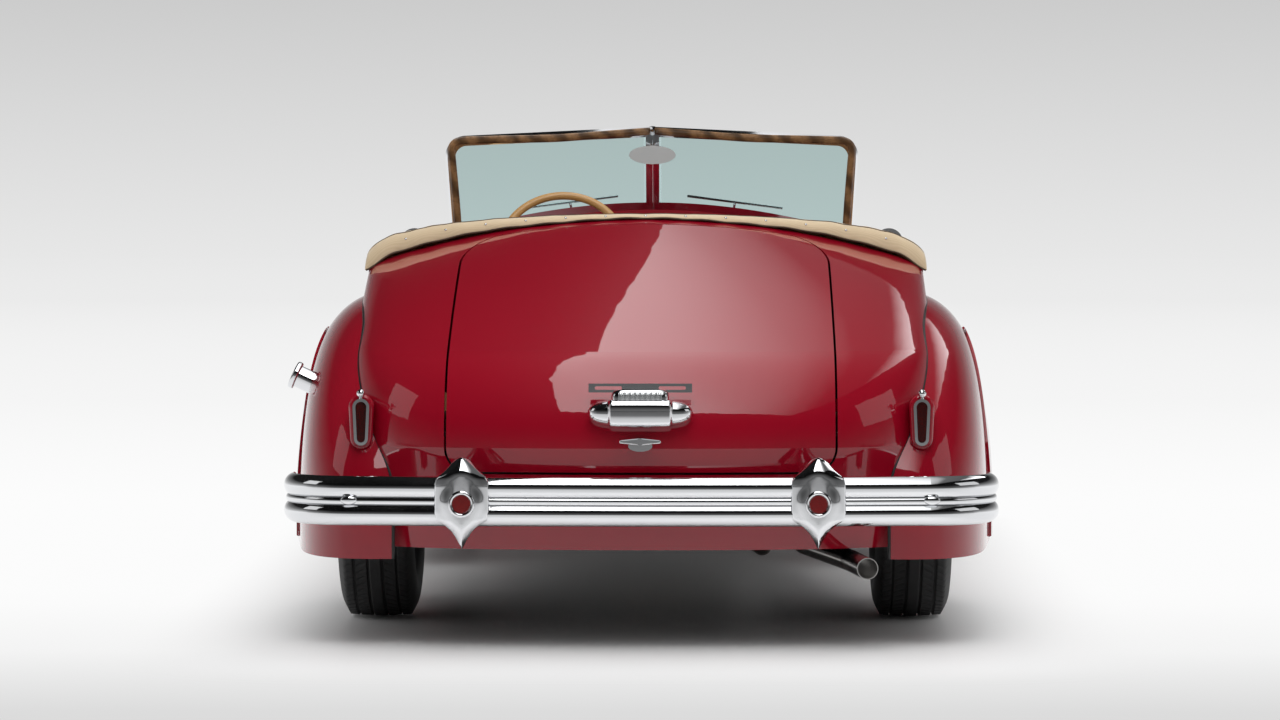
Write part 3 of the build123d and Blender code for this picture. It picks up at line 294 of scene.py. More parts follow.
def resample(path: Array, count: int, smooth: int = 0) -> Array:
    """Spread points evenly along a broken line, after an optional moving average.

    Args:
        path: the line's points.
        count: how many points to give back.
        smooth: half the width of the moving average, in samples of a fine copy.

    Returns:
        The new points.
    """
    reach = np.concatenate([[0.0], np.cumsum(np.linalg.norm(np.diff(path, axis=0), axis=1))])
    fine = np.linspace(0.0, reach[-1], max(count, 400))
    line = np.stack([np.interp(fine, reach, column) for column in path.T], axis=1)
    if smooth:
        padded = np.concatenate([np.repeat(line[:1], smooth, 0), line, np.repeat(line[-1:], smooth, 0)])
        kernel = np.ones(2 * smooth + 1) / (2 * smooth + 1)
        line = np.stack([np.convolve(column, kernel, "valid") for column in padded.T], axis=1)
        line[[0, -1]] = path[[0, -1]]
    pick = np.linspace(0, len(line) - 1, count)
    return np.stack([np.interp(pick, np.arange(len(line)), column) for column in line.T], axis=1)


def smoothstep(value: Array, low: float, high: float) -> Array:
    """Rise from 0 at low to 1 at high with level ends."""
    share = np.clip((value - low) / (high - low), 0.0, 1.0)
    return share * share * (3.0 - 2.0 * share)


class Nodes:
    """A node tree, with short calls to add and join nodes."""

    def __init__(self, tree: bpy.types.NodeTree) -> None:
        """Keep the tree."""
        self.tree = tree

    def add(self, kind: str, inputs: dict | None = None, **props: object) -> bpy.types.Node:
        """Add a node.

        Args:
            kind: the node's type, without the word that all shader nodes start with.
            inputs: values or output sockets for its inputs.
            props: the node's own settings.

        Returns:
            The new node.
        """
        node = self.tree.nodes.new("ShaderNode" + kind)
        for key, value in props.items():
            setattr(node, key, value)
        for key, value in (inputs or {}).items():
            socket = node.inputs[key]
            if isinstance(value, Socket):
                self.tree.links.new(value, socket)
            else:
                socket.default_value = value
        return node

    def math(self, operation: str, first: object, second: object) -> Socket:
        """Work out one operation on two values."""
        return self.add("Math", {0: first, 1: second}, operation=operation).outputs["Value"]

    def seen(self) -> Socket:
        """Tell what the camera, metal and glass see from the light on matt surfaces.

        Returns:
            A socket that is 1 for the first and 0 for the second.
        """
        rays = self.add("LightPath").outputs
        mirrored = self.math("MAXIMUM", rays["Is Camera Ray"], rays["Is Glossy Ray"])
        return self.math("MAXIMUM", mirrored, rays["Is Transmission Ray"])

    def greys(self, value: Socket, table: Table) -> Socket:
        """Read a table of greys at a value.

        Args:
            value: the value's socket.
            table: rows of value and grey, rising.

        Returns:
            The grey's socket.
        """
        low, high = table[0][0], table[-1][0]
        place = self.add("MapRange", {"Value": value, "From Min": low, "From Max": high}).outputs["Result"]
        ramp = self.add("ValToRGB", {"Fac": place})
        stops = ramp.color_ramp.elements
        stops.remove(stops[1])
        for index, (at, grey) in enumerate(table):
            share = (at - low) / (high - low)
            stop = stops.new(share) if index else stops[0]
            stop.position = share
            stop.color = (grey, grey, grey, 1.0)
        return ramp.outputs["Color"]


class NodeSheet(Nodes):
    """A material's node tree around one surface shader."""

    def __init__(self, name: str) -> None:
        """Start a new material with one surface shader.

        Args:
            name: the material's name.
        """
        self.material = bpy.data.materials.new(name)
        self.material.use_nodes = True
        super().__init__(self.material.node_tree)
        self.shader = self.tree.nodes["Principled BSDF"]

    def set(self, **values: object) -> None:
        """Set sockets of the surface shader by name, with _ for a space."""
        for key, value in values.items():
            self.shader.inputs[key.replace("_", " ")].default_value = value

    def link(self, output: Socket, socket: str) -> None:
        """Join an output to a socket of the surface shader."""
        self.tree.links.new(output, self.shader.inputs[socket])

    def place(self) -> Socket:
        """The point in the car's own frame."""
        return self.add("TexCoord").outputs["Object"]

    def noise(self, scale: float, detail: float, source: Socket | None = None) -> Socket:
        """A noise value over the surface.

        Args:
            scale: cells for each metre.
            detail: octaves.
            source: the point to read it at, or None for the car's frame.

        Returns:
            The noise value's socket.
        """
        where = self.place() if source is None else source
        node = self.add("TexNoise", {"Vector": where, "Scale": scale, "Detail": detail})
        return node.outputs["Fac"]

    def remap(self, value: Socket, low: float, high: float) -> Socket:
        """Stretch a value from 0..1 to low..high."""
        node = self.add("MapRange", {"Value": value, "To Min": low, "To Max": high})
        return node.outputs["Result"]

    def between(self, value: Socket, first: Colour, second: Colour) -> Socket:
        """Blend two colours by a value.

        Args:
            value: 0 gives the first colour, 1 the second.
            first: a linear colour.
            second: a linear colour.

        Returns:
            The colour's socket.
        """
        ends = {"Factor": value, "A": (*first, 1.0), "B": (*second, 1.0)}
        return self.add("Mix", ends, data_type="RGBA").outputs["Result"]

    def bump(self, height: Socket, strength: float, distance: float) -> None:
        """Raise the surface by a height value.

        Args:
            height: the height's socket.
            strength: 0 to 1.
            distance: metres for a height of 1.
        """
        node = self.add("Bump", {"Strength": strength, "Distance": distance, "Height": height})
        self.link(node.outputs["Normal"], "Normal")


@dataclass(frozen=True)
class Recipe:
    """What every finish has: a name, two tones and a way to a material."""

    name: str
    colour: Colour = (0.8, 0.8, 0.8)
    shade: Colour = (0.8, 0.8, 0.8)

    def tone(self, sheet: NodeSheet, value: Socket) -> None:
        """Let the colour go from the first tone to the shade with a value."""
        sheet.link(sheet.between(value, self.colour, self.shade), "Base Color")

    def fill(self, sheet: NodeSheet) -> None:
        """Lay the finish on; each finish has its own way."""
        raise NotImplementedError

    def material(self) -> Material:
        """Build the finish's material."""
        sheet = NodeSheet(self.name)
        self.fill(sheet)
        return sheet.material


@dataclass(frozen=True)
class Lacquer(Recipe):
    """Deep gloss lacquer under a clear coat."""

    roughness: float = 0.32
    coat_roughness: float = 0.02

    def fill(self, sheet: NodeSheet) -> None:
        """Lay on a slight drift of tone, a clear coat and faint ripple."""
        sheet.set(Roughness=self.roughness, Specular_IOR_Level=0.05)
        sheet.set(Coat_Weight=1.0, Coat_Roughness=self.coat_roughness, Coat_IOR=1.6)
        self.tone(sheet, sheet.noise(3.0, 3.0))
        sheet.bump(sheet.noise(220.0, 2.0), 0.03, 0.0004)


@dataclass(frozen=True)
class Chrome(Recipe):
    """Polished plating with faint wiping marks."""

    colour: Colour = (0.80, 0.81, 0.83)
    low: float = 0.03
    high: float = 0.10

    def fill(self, sheet: NodeSheet) -> None:
        """Lay on a mirror whose roughness drifts with wear."""
        sheet.set(Metallic=1.0, Base_Color=(*self.colour, 1.0))
        sheet.link(sheet.remap(sheet.noise(14.0, 6.0), self.low, self.high), "Roughness")
        sheet.bump(sheet.noise(60.0, 2.0), 0.02, 0.0006)


@dataclass(frozen=True)
class Canvas(Recipe):
    """Woven cloth: two crossed threads, sheen and a drift of tone; the darker tone between the threads is
    painted shade.
    """

    threads: float = 620.0

    def fill(self, sheet: NodeSheet) -> None:
        """Lay on a weave from two crossed waves."""
        sheet.set(Roughness=0.9, Sheen_Weight=0.35, Sheen_Roughness=0.5)
        wave = {"Vector": sheet.place(), "Scale": self.threads / 6.283}
        warp, weft = (sheet.add("TexWave", wave, bands_direction=way).outputs["Fac"] for way in "XY")
        weave = sheet.math("MULTIPLY", warp, weft)
        mixed = sheet.math("MULTIPLY", weave, sheet.noise(9.0, 5.0))
        # painted shade: the darker tone falls in the gaps between the threads, and also drifts at random with
        # the noise
        sheet.link(sheet.between(mixed, self.shade, self.colour), "Base Color")
        sheet.bump(weave, 0.35, 0.0006)


@dataclass(frozen=True)
class Leather(Recipe):
    """Hide with a fine grain."""

    cells: float = 320.0

    def fill(self, sheet: NodeSheet) -> None:
        """Lay on a cell grain and a slow drift of tone."""
        sheet.set(Roughness=0.48, Specular_IOR_Level=0.45)
        self.tone(sheet, sheet.noise(7.0, 5.0))
        cells = sheet.add("TexVoronoi", {"Vector": sheet.place(), "Scale": self.cells})
        sheet.bump(cells.outputs["Distance"], 0.22, 0.0008)


@dataclass(frozen=True)
class Rubber(Recipe):
    """Black rubber with a dusty drift of tone."""

    colour: Colour = (0.012, 0.012, 0.013)
    shade: Colour = (0.03, 0.03, 0.03)
    roughness: float = 0.62

    def fill(self, sheet: NodeSheet) -> None:
        """Lay on the two tones and a fine tooth."""
        sheet.set(Roughness=self.roughness)
        self.tone(sheet, sheet.noise(22.0, 6.0))
        sheet.bump(sheet.noise(400.0, 3.0), 0.15, 0.0005)


@dataclass(frozen=True)
class Enamel(Recipe):
    """Plain painted or cast surface with a mottled roughness."""

    metallic: float = 0.0
    low: float = 0.35
    high: float = 0.55

    def fill(self, sheet: NodeSheet) -> None:
        """Lay on the two tones, with a roughness that follows them."""
        sheet.set(Metallic=self.metallic)
        drift = sheet.noise(12.0, 6.0)
        self.tone(sheet, drift)
        sheet.link(sheet.remap(drift, self.low, self.high), "Roughness")
        sheet.bump(sheet.noise(180.0, 3.0), 0.06, 0.0006)


@dataclass(frozen=True)
class Glass(Recipe):
    """Clear or tinted glass with a trace of haze."""

    roughness: float = 0.0
    ior: float = 1.45

    def fill(self, sheet: NodeSheet) -> None:
        """Make the surface clear, with a faint ripple."""
        sheet.set(Base_Color=(*self.colour, 1.0), Roughness=self.roughness)
        sheet.set(IOR=self.ior, Transmission_Weight=1.0)
        sheet.bump(sheet.noise(30.0, 2.0), 0.01, 0.0003)


@dataclass(frozen=True)
class FlutedLens(Recipe):
    """A headlamp's fluted glass with the silver of its mirror behind."""

    colour: Colour = (0.74, 0.76, 0.77)
    shade: Colour = (0.52, 0.54, 0.55)
    flutes: float = 24.0

    def fill(self, sheet: NodeSheet) -> None:
        """Lay on upright flutes as ripples and as painted light and dark bands in the colour, under a hard
        clear coat.
        """
        sheet.set(Metallic=0.75, Roughness=0.22, Coat_Weight=1.0, Coat_Roughness=0.02)
        wave = {"Vector": sheet.place(), "Scale": self.flutes}
        ripple = sheet.add("TexWave", wave, bands_direction="X", wave_profile="SIN").outputs["Fac"]
        # painted shading: the flutes' light and dark bands are laid into the colour itself
        sheet.link(sheet.between(ripple, self.shade, self.colour), "Base Color")
        sheet.bump(ripple, 0.5, 0.002)


@dataclass(frozen=True)
class Veneer(Recipe):
    """Varnished brown in slanting dark streaks."""

    colour: Colour = (0.30, 0.165, 0.075)
    shade: Colour = (0.085, 0.046, 0.022)
    streaks: float = 5.2
    contrast: float = 1.9

    def fill(self, sheet: NodeSheet) -> None:
        """Lay on bands along a slanted direction, bent by noise, under a clear varnish."""
        sheet.set(Roughness=0.35, Coat_Weight=0.7, Coat_Roughness=0.08)
        slanted = {"Vector": sheet.place(), "Rotation": (0.0, 0.7, 0.0), "Scale": (1.0, 0.3, 1.0)}
        turned = sheet.add("Mapping", slanted).outputs["Vector"]
        bent = {"Distortion": 5.0, "Detail": 3.0, "Detail Scale": 2.0}
        wave = {"Vector": turned, "Scale": self.streaks, **bent}
        bands = sheet.add("TexWave", wave, bands_direction="X").outputs["Fac"]
        fine = sheet.noise(90.0, 6.0, turned)
        # dark slanting streaks, bent by noise, laid into the colour
        grain = sheet.math("MULTIPLY", sheet.math("MULTIPLY", bands, fine), self.contrast)
        sheet.link(sheet.between(grain, self.shade, self.colour), "Base Color")
        sheet.bump(fine, 0.05, 0.0004)


class Finish(Enum):
    """Every finish on the car."""

    PAINT = Lacquer("crimson_lacquer", (0.235, 0.0012, 0.010), (0.25, 0.0016, 0.012))
    CHROME = Chrome("bright_chrome")
    CANVAS = Canvas("tan_top_cloth", (0.66, 0.53, 0.36), (0.50, 0.385, 0.245))
    LEATHER = Leather("tan_hide", (0.46, 0.27, 0.13), (0.36, 0.2, 0.09))
    WOOD = Veneer("brown_veneer")
    TYRE = Rubber("tyre_rubber")
    WELT = Rubber("welt_rubber", (0.006, 0.006, 0.007), (0.014, 0.014, 0.014), 0.4)
    PIPING = Rubber("brown_piping", (0.060, 0.036, 0.020), (0.090, 0.055, 0.030), 0.7)
    CARPET = Canvas("dark_carpet", (0.030, 0.026, 0.023), (0.016, 0.014, 0.013), 380.0)
    CHASSIS = Enamel("chassis_black", (0.010, 0.010, 0.011), (0.022, 0.021, 0.020))
    IVORY = Enamel("ivory_wheel", (0.50, 0.29, 0.11), (0.42, 0.23, 0.08), 0.0, 0.15, 0.3)
    DIAL = Enamel("dial_cream", (0.72, 0.66, 0.52), (0.66, 0.60, 0.46), 0.0, 0.3, 0.4)
    RED_LENS = Glass("red_lens", (0.55, 0.004, 0.006), roughness=0.08)
    CLEAR = Glass("pane_glass", (0.56, 0.70, 0.69), ior=1.1)
    LAMP_GLASS = FlutedLens("lamp_glass")
    # painted reflection: the inside mirror's face is a light grey that catches the lamps' light in place of
    # what a mirror would reflect
    SILVER = Enamel("mirror_silver", (0.50, 0.52, 0.53), (0.46, 0.48, 0.49), 0.0, 0.20, 0.30)
    EXHAUST = Enamel("pipe_steel", (0.30, 0.29, 0.28), (0.42, 0.41, 0.40), 1.0, 0.12, 0.3)

    def __init__(self, recipe: Recipe) -> None:
        """Keep the recipe; the material is made once, when it is first used."""
        self.recipe = recipe
        self.made: Material | None = None

    @property
    def material(self) -> Material:
        """The finish's one material."""
        if self.made is None:
            self.made = self.recipe.material()
        return self.made


def piece(
    name: str,
    patches: list[Patch],
    finish: Finish,
    body: str = "car_body",
    replaces: tuple[str, ...] = (),
    facing: Point | None = None,
) -> Object:
    """Weld grids into one piece of the car, give it a finish and let it ride on a body.

    Args:
        name: the piece's name.
        patches: its grids.
        finish: its finish.
        body: the body that it moves with.
        replaces: the solids that it stands for.
        facing: for open sheets, a direction that the faces look along.

    Returns:
        The new object.
    """
    obj = weld(name, patches, facing)
    obj.data.materials.append(finish.material)
    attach(obj, body)
    if replaces:
        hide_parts(*replaces)
    LOG.info("piece %s on %s: %s, %d faces", name, body, finish.name.lower(), len(obj.data.polygons))
    return obj


@dataclass
class Studio:
    """The pale floor, the soft lamps, the pale wall and the camera behind the car."""

    camera_place: Point = (0.166, -14.638, 1.10)
    focal_px: float = 4711.0
    image_px: Span = (1280.0, 720.0)
    ahead_px: Span = (705.0, 223.0)
    floor_half: float = 130.0
    floor_colour: Colour = (0.80, 0.80, 0.80)
    car_half: Point = (0.72, 2.80, 0.0)
    shadow_reach: Span = (0.0, 0.65)
    wall_greys: Table = (
        (-0.30, 0.97), (-0.0163, 0.831), (-0.009, 0.805), (0.0, 0.775), (0.047, 0.604),
        (0.10, 0.44), (0.22, 0.20), (0.40, 0.012), (1.0, 0.006),
    )
    floor_greys: Table = (
        (-12.0, 0.66), (-4.2, 0.70), (-2.6, 0.90), (-0.9, 0.97), (4.1, 0.973),
        (14.6, 0.913), (52.0, 0.831), (115.0, 0.805),
    )
    panel_shading: Table = (
        (0.0, 1.0), (0.47, 0.95), (0.69, 0.62), (0.8, 0.46), (0.95, 0.20),
        (1.12, 0.04), (1.42, 0.03), (1.6, 0.45), (2.0, 0.9),
    )
    near_floor: Table = ((-30.0, 0.12), (-14.0, 0.25), (-5.0, 1.0), (30.0, 1.0))
    even_greys: Table = ((-1.0, 0.02), (0.0, 0.03), (0.35, 0.55), (1.0, 1.18))
    far_side: Table = ((-1.0, 0.20), (-0.7, 0.20), (-0.15, 0.55), (0.1, 1.0), (1.0, 1.0))

    def camera(self) -> None:
        """Place the camera so that the car's straight-ahead direction falls on ahead_px."""
        sensor = 36.0
        data = bpy.data.cameras.new("photo_camera")
        data.sensor_width = sensor
        data.lens = self.focal_px * sensor / self.image_px[0]
        data.clip_end = 400.0
        camera = bpy.data.objects.new("photo_camera", data)
        right = self.ahead_px[0] - self.image_px[0] / 2
        above = self.image_px[1] / 2 - self.ahead_px[1]
        yaw = math.atan(right / self.focal_px)
        pitch = math.atan(above / self.focal_px)
        camera.location = self.camera_place
        camera.rotation_euler = (math.pi / 2 - pitch, 0.0, yaw)
        bpy.context.collection.objects.link(camera)
        bpy.context.scene.camera = camera

    def lamp(
        self,
        name: str,
        place: Point,
        aim: Point,
        size: Span,
        radiance: float,
        roll: float = 0.0,
        shading: Table | None = None,
    ) -> None:
        """Hang one soft lamp.

        Args:
            name: the lamp's name.
            place: its centre.
            aim: the point that it faces.
            size: its width and height.
            radiance: how bright its face looks, where 1 is white.
            roll: its turn about its own axis, in degrees.
            shading: rows of place from one corner, 0, to the far one, 2, and the share of radiance there.
        """
        data = bpy.data.lights.new(name, "AREA")
        data.shape = "RECTANGLE"
        data.size, data.size_y = size
        data.energy = 4.0 * radiance * size[0] * size[1]
        if shading:
            data.use_nodes = True
            nodes = Nodes(data.node_tree)
            spot = nodes.add("NewGeometry").outputs["Parametric"]
            slant = nodes.add("VectorMath", {0: spot, 1: (1.0, 1.0, 0.0)}, operation="DOT_PRODUCT")
            grey = nodes.greys(slant.outputs["Value"], shading)
            nodes.tree.links.new(grey, nodes.tree.nodes["Emission"].inputs["Color"])
        lamp = bpy.data.objects.new(name, data)
        lamp.location = place
        look = Vector(aim) - Vector(place)
        turn = look.to_track_quat("-Z", "Y") @ Quaternion(UP, math.radians(roll))
        lamp.rotation_euler = turn.to_euler()
        bpy.context.collection.objects.link(lamp)

    def wall(self) -> None:
        """Fill the studio with soft light from above for matt surfaces and a pale wall for all other rays.

        The wall greys upwards. In metal and glass the side behind the camera is dimmer than the one ahead.
        """
        world = bpy.data.worlds.new("studio_wall")
        world.use_nodes = True
        bpy.context.scene.world = world
        world.node_tree.nodes.clear()
        nodes = Nodes(world.node_tree)
        way = nodes.add("SeparateXYZ", {0: nodes.add("TexCoord").outputs["Generated"]}).outputs
        camera = nodes.add("LightPath").outputs["Is Camera Ray"]
        strength = nodes.math("MAXIMUM", camera, nodes.greys(way["Y"], self.far_side))
        grey = nodes.greys(way["Z"], self.wall_greys)
        pale = nodes.add("Background", {"Color": grey, "Strength": strength})
        even = nodes.add("Background", {"Color": nodes.greys(way["Z"], self.even_greys)})
        mix = nodes.add("MixShader", {0: nodes.seen(), 1: even.outputs[0], 2: pale.outputs[0]})
        nodes.add("OutputWorld", {"Surface": mix.outputs[0]})

    def floor(self) -> None:
        """Lay the pale floor: satin near the car, where the shadow falls, and one with the wall far off."""
        half = self.floor_half
        corners = [(-half, -half, 0.0), (half, -half, 0.0), (half, half, 0.0), (-half, half, 0.0)]
        mesh = bpy.data.meshes.new("studio_floor")
        mesh.from_pydata(corners, [], [(0, 1, 2, 3)])
        floor = bpy.data.objects.new("studio_floor", mesh)
        bpy.context.collection.objects.link(floor)
        sheet = NodeSheet("pale_floor")
        sheet.set(Base_Color=(*self.floor_colour, 1.0), Roughness=0.4, Specular_IOR_Level=0.3)
        place = sheet.place()
        past = sheet.add("VectorMath", {0: place}, operation="ABSOLUTE")
        for operation, other in (("SUBTRACT", self.car_half), ("MAXIMUM", (0.0, 0.0, 0.0))):
            past = sheet.add("VectorMath", {0: past.outputs["Vector"], 1: other}, operation=operation)
        reach = sheet.add("VectorMath", {0: past.outputs["Vector"]}, operation="LENGTH").outputs["Value"]
        near, far = self.shadow_reach
        rise = {"Value": reach, "From Min": near, "From Max": far}
        fade = sheet.add("MapRange", rise, interpolation_type="SMOOTHSTEP").outputs["Result"]
        share = sheet.math("MULTIPLY", fade, sheet.seen())
        y = sheet.add("SeparateXYZ", {0: place}).outputs["Y"]
        camera = sheet.add("LightPath").outputs["Is Camera Ray"]
        strength = sheet.math("MAXIMUM", camera, sheet.greys(y, self.near_floor))
        glow = sheet.add("Emission", {"Color": sheet.greys(y, self.floor_greys), "Strength": strength})
        mix = sheet.add("MixShader", {0: share, 1: sheet.shader.outputs[0], 2: glow.outputs[0]})
        sheet.tree.links.new(mix.outputs[0], sheet.tree.nodes["Material Output"].inputs["Surface"])
        mesh.materials.append(sheet.material)

    def build(self) -> None:
        """Set up the whole studio."""
        bpy.context.scene.view_settings.view_transform = "Standard"
        self.camera()
        self.wall()
        self.floor()
        under = (1.70, -1.6, 0.0)
        self.lamp("top_panel", (*under[:2], 4.6), under, (4.6, 12.4), 2.6, -7.5, self.panel_shading)
        self.lamp("left_strip", (-4.8, -2.6, 2.9), (0.0, -1.2, 0.9), (2.0, 2.0), 0.6)
        self.lamp("right_wall", (5.4, -3.2, 2.9), (0.2, -1.4, 0.9), (3.4, 2.0), 0.55)
        LOG.info("studio: camera, floor, wall and three lamps")


@dataclass
class PackedNodes:
    """The solids that stay in sight as they are, with a finish each."""

    finishes: dict[str, Finish] = field(
        default_factory=lambda: {
            "red_paint": Finish.PAINT,
            "chrome": Finish.CHROME,
            "red_lens": Finish.RED_LENS,
            "clear_glass": Finish.CLEAR,
            "tan_canvas": Finish.CANVAS,
            "tan_leather": Finish.LEATHER,
            "ivory": Finish.IVORY,
            "chassis_black": Finish.CHASSIS,
            "tyre_rubber": Finish.TYRE,
            "wheel_paint": Finish.PAINT,
        }
    )
    exceptions: dict[str, Finish] = field(
        default_factory=lambda: {
            "headlamp_lenses": Finish.LAMP_GLASS,
            "exhaust": Finish.EXHAUST,
            "inside_mirror": Finish.SILVER,
        }
    )

    def dress(self, frame: dict) -> None:
        """Give every node the finish of its slot.
        """
        slots = {row["node"]: row["material_slot"] for row in frame["record"]["subparts"]}
        for name, obj in frame["nodes"].items():
            finish = self.exceptions.get(name, self.finishes[slots[name]])
            obj.data.materials.clear()
            obj.data.materials.append(finish.material)
            LOG.info("node %s: %s", name, finish.name.lower())


@dataclass
class FenderWelts:
    """Black beading in the seams between the rear fenders and the body."""

    radius: float = 0.0042
    axle_y: float = End.REAR.value[0]
    middle_z: float = 0.330
    height: float = 0.588
    tail: float = 0.975
    nose: float = 0.712
    first_deg: float = -12.0
    last_deg: float = 184.0
    bin_deg: float = 7.0
    inward: float = 0.35

    def seam(self, node: Object) -> Array:
        """Follow the fender's inner upper edge on the right.

        Around the axle every point has an angle, and a reach that is 1 on the fender's largest outline. In
        each step of the angle the seam is the point with the most reach, less a share of its distance out.

        Args:
            node: the fenders' solid.

        Returns:
            Points along the seam from the foot of the tail to the front foot.
        """
        points = vectors(node.data.vertices, "co")
        points = points[points[:, 0] > 0.0]
        back = self.axle_y - points[:, 1]
        run = back / np.where(back > 0.0, self.tail, self.nose)
        rise = (points[:, 2] - self.middle_z) / self.height
        angle = np.degrees(np.arctan2(rise, run))
        score = np.hypot(run, rise) - self.inward * points[:, 0]
        keep = (angle >= self.first_deg) & (angle < self.last_deg)
        points, angle, score = points[keep], angle[keep], score[keep]
        step = ((angle - self.first_deg) // self.bin_deg).astype(int)
        order = np.lexsort((score, step))
        last = np.flatnonzero(np.diff(np.append(step[order], 10_000)))
        return points[order][last]

    def build(self, frame: dict) -> None:
        """Lay a round bead along both seams.
        """
        path = resample(self.seam(frame["nodes"]["rear_fenders"]), 150, 10)
        bead = tube(path, self.radius, RIGHTWARD)
        piece("fender_welts", bead.pair(), Finish.WELT)


@dataclass
class TopCover:
    """The canvas cover buttoned over the folded top."""

    half: float = 0.783
    crown_z: float = 1.122
    corner_z: float = 0.976
    rear_y: float = -1.458
    rise_y: float = -1.424
    fall_y: float = -1.172
    front_y: float = -1.138
    front_z: float = 0.988
    deck_z: float = 1.1115
    deck_fall: float = 0.215
    snap_pitch: float = 0.112
    snap: Point = (0.0038, 0.0026, 0.003)
    bend: float = 0.24
    crease: float = 0.0016
    proud: Span = (0.0030, 0.0022)
    binding_radius: float = 0.0030
    seam_radius: float = 0.0016
    seam_at: float = 0.20
    snap_at: float = 0.10
    thickness: float = 0.003
    flat: Span = (1.72, 0.45)
    cut_area: float = 0.715

    def crown(self, x: Array) -> Array:
        """The cover's height across the car: a flat arch whose ends turn down steeply."""
        share = np.clip(np.abs(x) / self.half, 0.0, 1.0)
        return self.corner_z + (self.crown_z - self.corner_z) * (1.0 - share**2.1) ** 0.33

    def hem(self, x: Array) -> Array:
        """The height of the rear hem: on the deck in the middle, and drawn down over its corners."""
        wide = np.abs(x)
        lift = 0.010 * smoothstep(wide, 0.20, 0.55) - 0.022 * smoothstep(wide, 0.70, self.half)
        return self.deck_z - self.deck_fall * wide**2 + lift

    def surface(self, x: Array, v: Array) -> Array:
        """Points on the cloth.

        Along v it rises from the hem in a quarter ellipse, runs level over the folded top and drops to the
        front edge in another. Slanting waves that grow towards the sides crease it, and between two snaps
        the hem stands a little proud.

        Args:
            x: places across the car.
            v: places from the rear hem, 0, to the front edge, 1.

        Returns:
            The points, with the shape of x.
        """
        top = self.crown(x)
        hem = np.minimum(self.hem(x), top - 0.002)
        edge = np.minimum(self.front_z, top - 0.002)
        rise = np.clip(v / self.bend, 0.0, 1.0) * np.pi / 2
        fall = np.clip((v - 1.0 + self.bend) / self.bend, 0.0, 1.0) * np.pi / 2
        level = np.clip((v - self.bend) / (1.0 - 2 * self.bend), 0.0, 1.0)
        y = self.rear_y + (self.rise_y - self.rear_y) * (1.0 - np.cos(rise))
        y = y + (self.fall_y - self.rise_y) * level + (self.front_y - self.fall_y) * np.sin(fall)
        z = hem + (top - hem) * np.sin(rise) - (top - edge) * (1.0 - np.cos(fall))
        side = 0.25 + 0.75 * smoothstep(np.abs(x), 0.30, 0.70)
        body = np.sin(np.pi * np.clip(v, 0.0, 1.0)) ** 0.7
        waves = np.sin(41.0 * x + 23.0 * y + 1.1) + 0.7 * np.sin(67.0 * x - 37.0 * y + 2.3)
        waves = waves + 0.5 * np.sin(113.0 * x + 71.0 * y + 0.4)
        proud = np.sin(np.pi * x / self.snap_pitch) ** 2 * np.exp(-((v / 0.16) ** 2))
        z = z + self.crease * side * body * waves + self.proud[1] * proud
        y = y - self.proud[0] * proud
        bulge = 0.003 * side * np.sin(2 * np.pi * np.clip(v, 0.0, 1.0)) ** 2
        return np.stack([x, y, z + bulge * (np.abs(x) < self.half - 0.004)], axis=-1)

    def build(self) -> None:
        """Make the cloth, the dark binding along its hem and the row of snaps."""
        v, x = np.meshgrid(np.linspace(0.0, 1.0, 61), crowded(self.half, 241), indexing="ij")
        patches = [Patch(self.surface(x, v))]
        solids = ("boot_cover",)
        cloth = piece("top_cover", patches, Finish.CANVAS, replaces=solids, facing=UP)
        thicken(cloth, self.thickness, 1.0)
        rest = crowded(self.half, 200)
        line = self.surface(rest, np.full_like(rest, 0.0)) + (0.0, -0.001, 0.001)
        seam = self.surface(rest, np.full_like(rest, self.seam_at)) + (0.0, -0.0012, 0.003)
        cords = [tube(line, self.binding_radius, UP, 8), tube(seam, self.seam_radius, UP, 8)]
        binding = piece("cover_binding", cords, Finish.PIPING)
        count = int(self.half * 2 / self.snap_pitch)
        places = (np.arange(count) - (count - 1) / 2) * self.snap_pitch
        at = self.surface(places, np.full_like(places, self.snap_at)) + (0.0, -0.0022, 0.0022)
        snaps = [lathe(dome(*self.snap, 6), tuple(spot), (0.0, -0.75, 0.66), 16) for spot in at]
        piece("cover_snaps", snaps, Finish.CHROME)


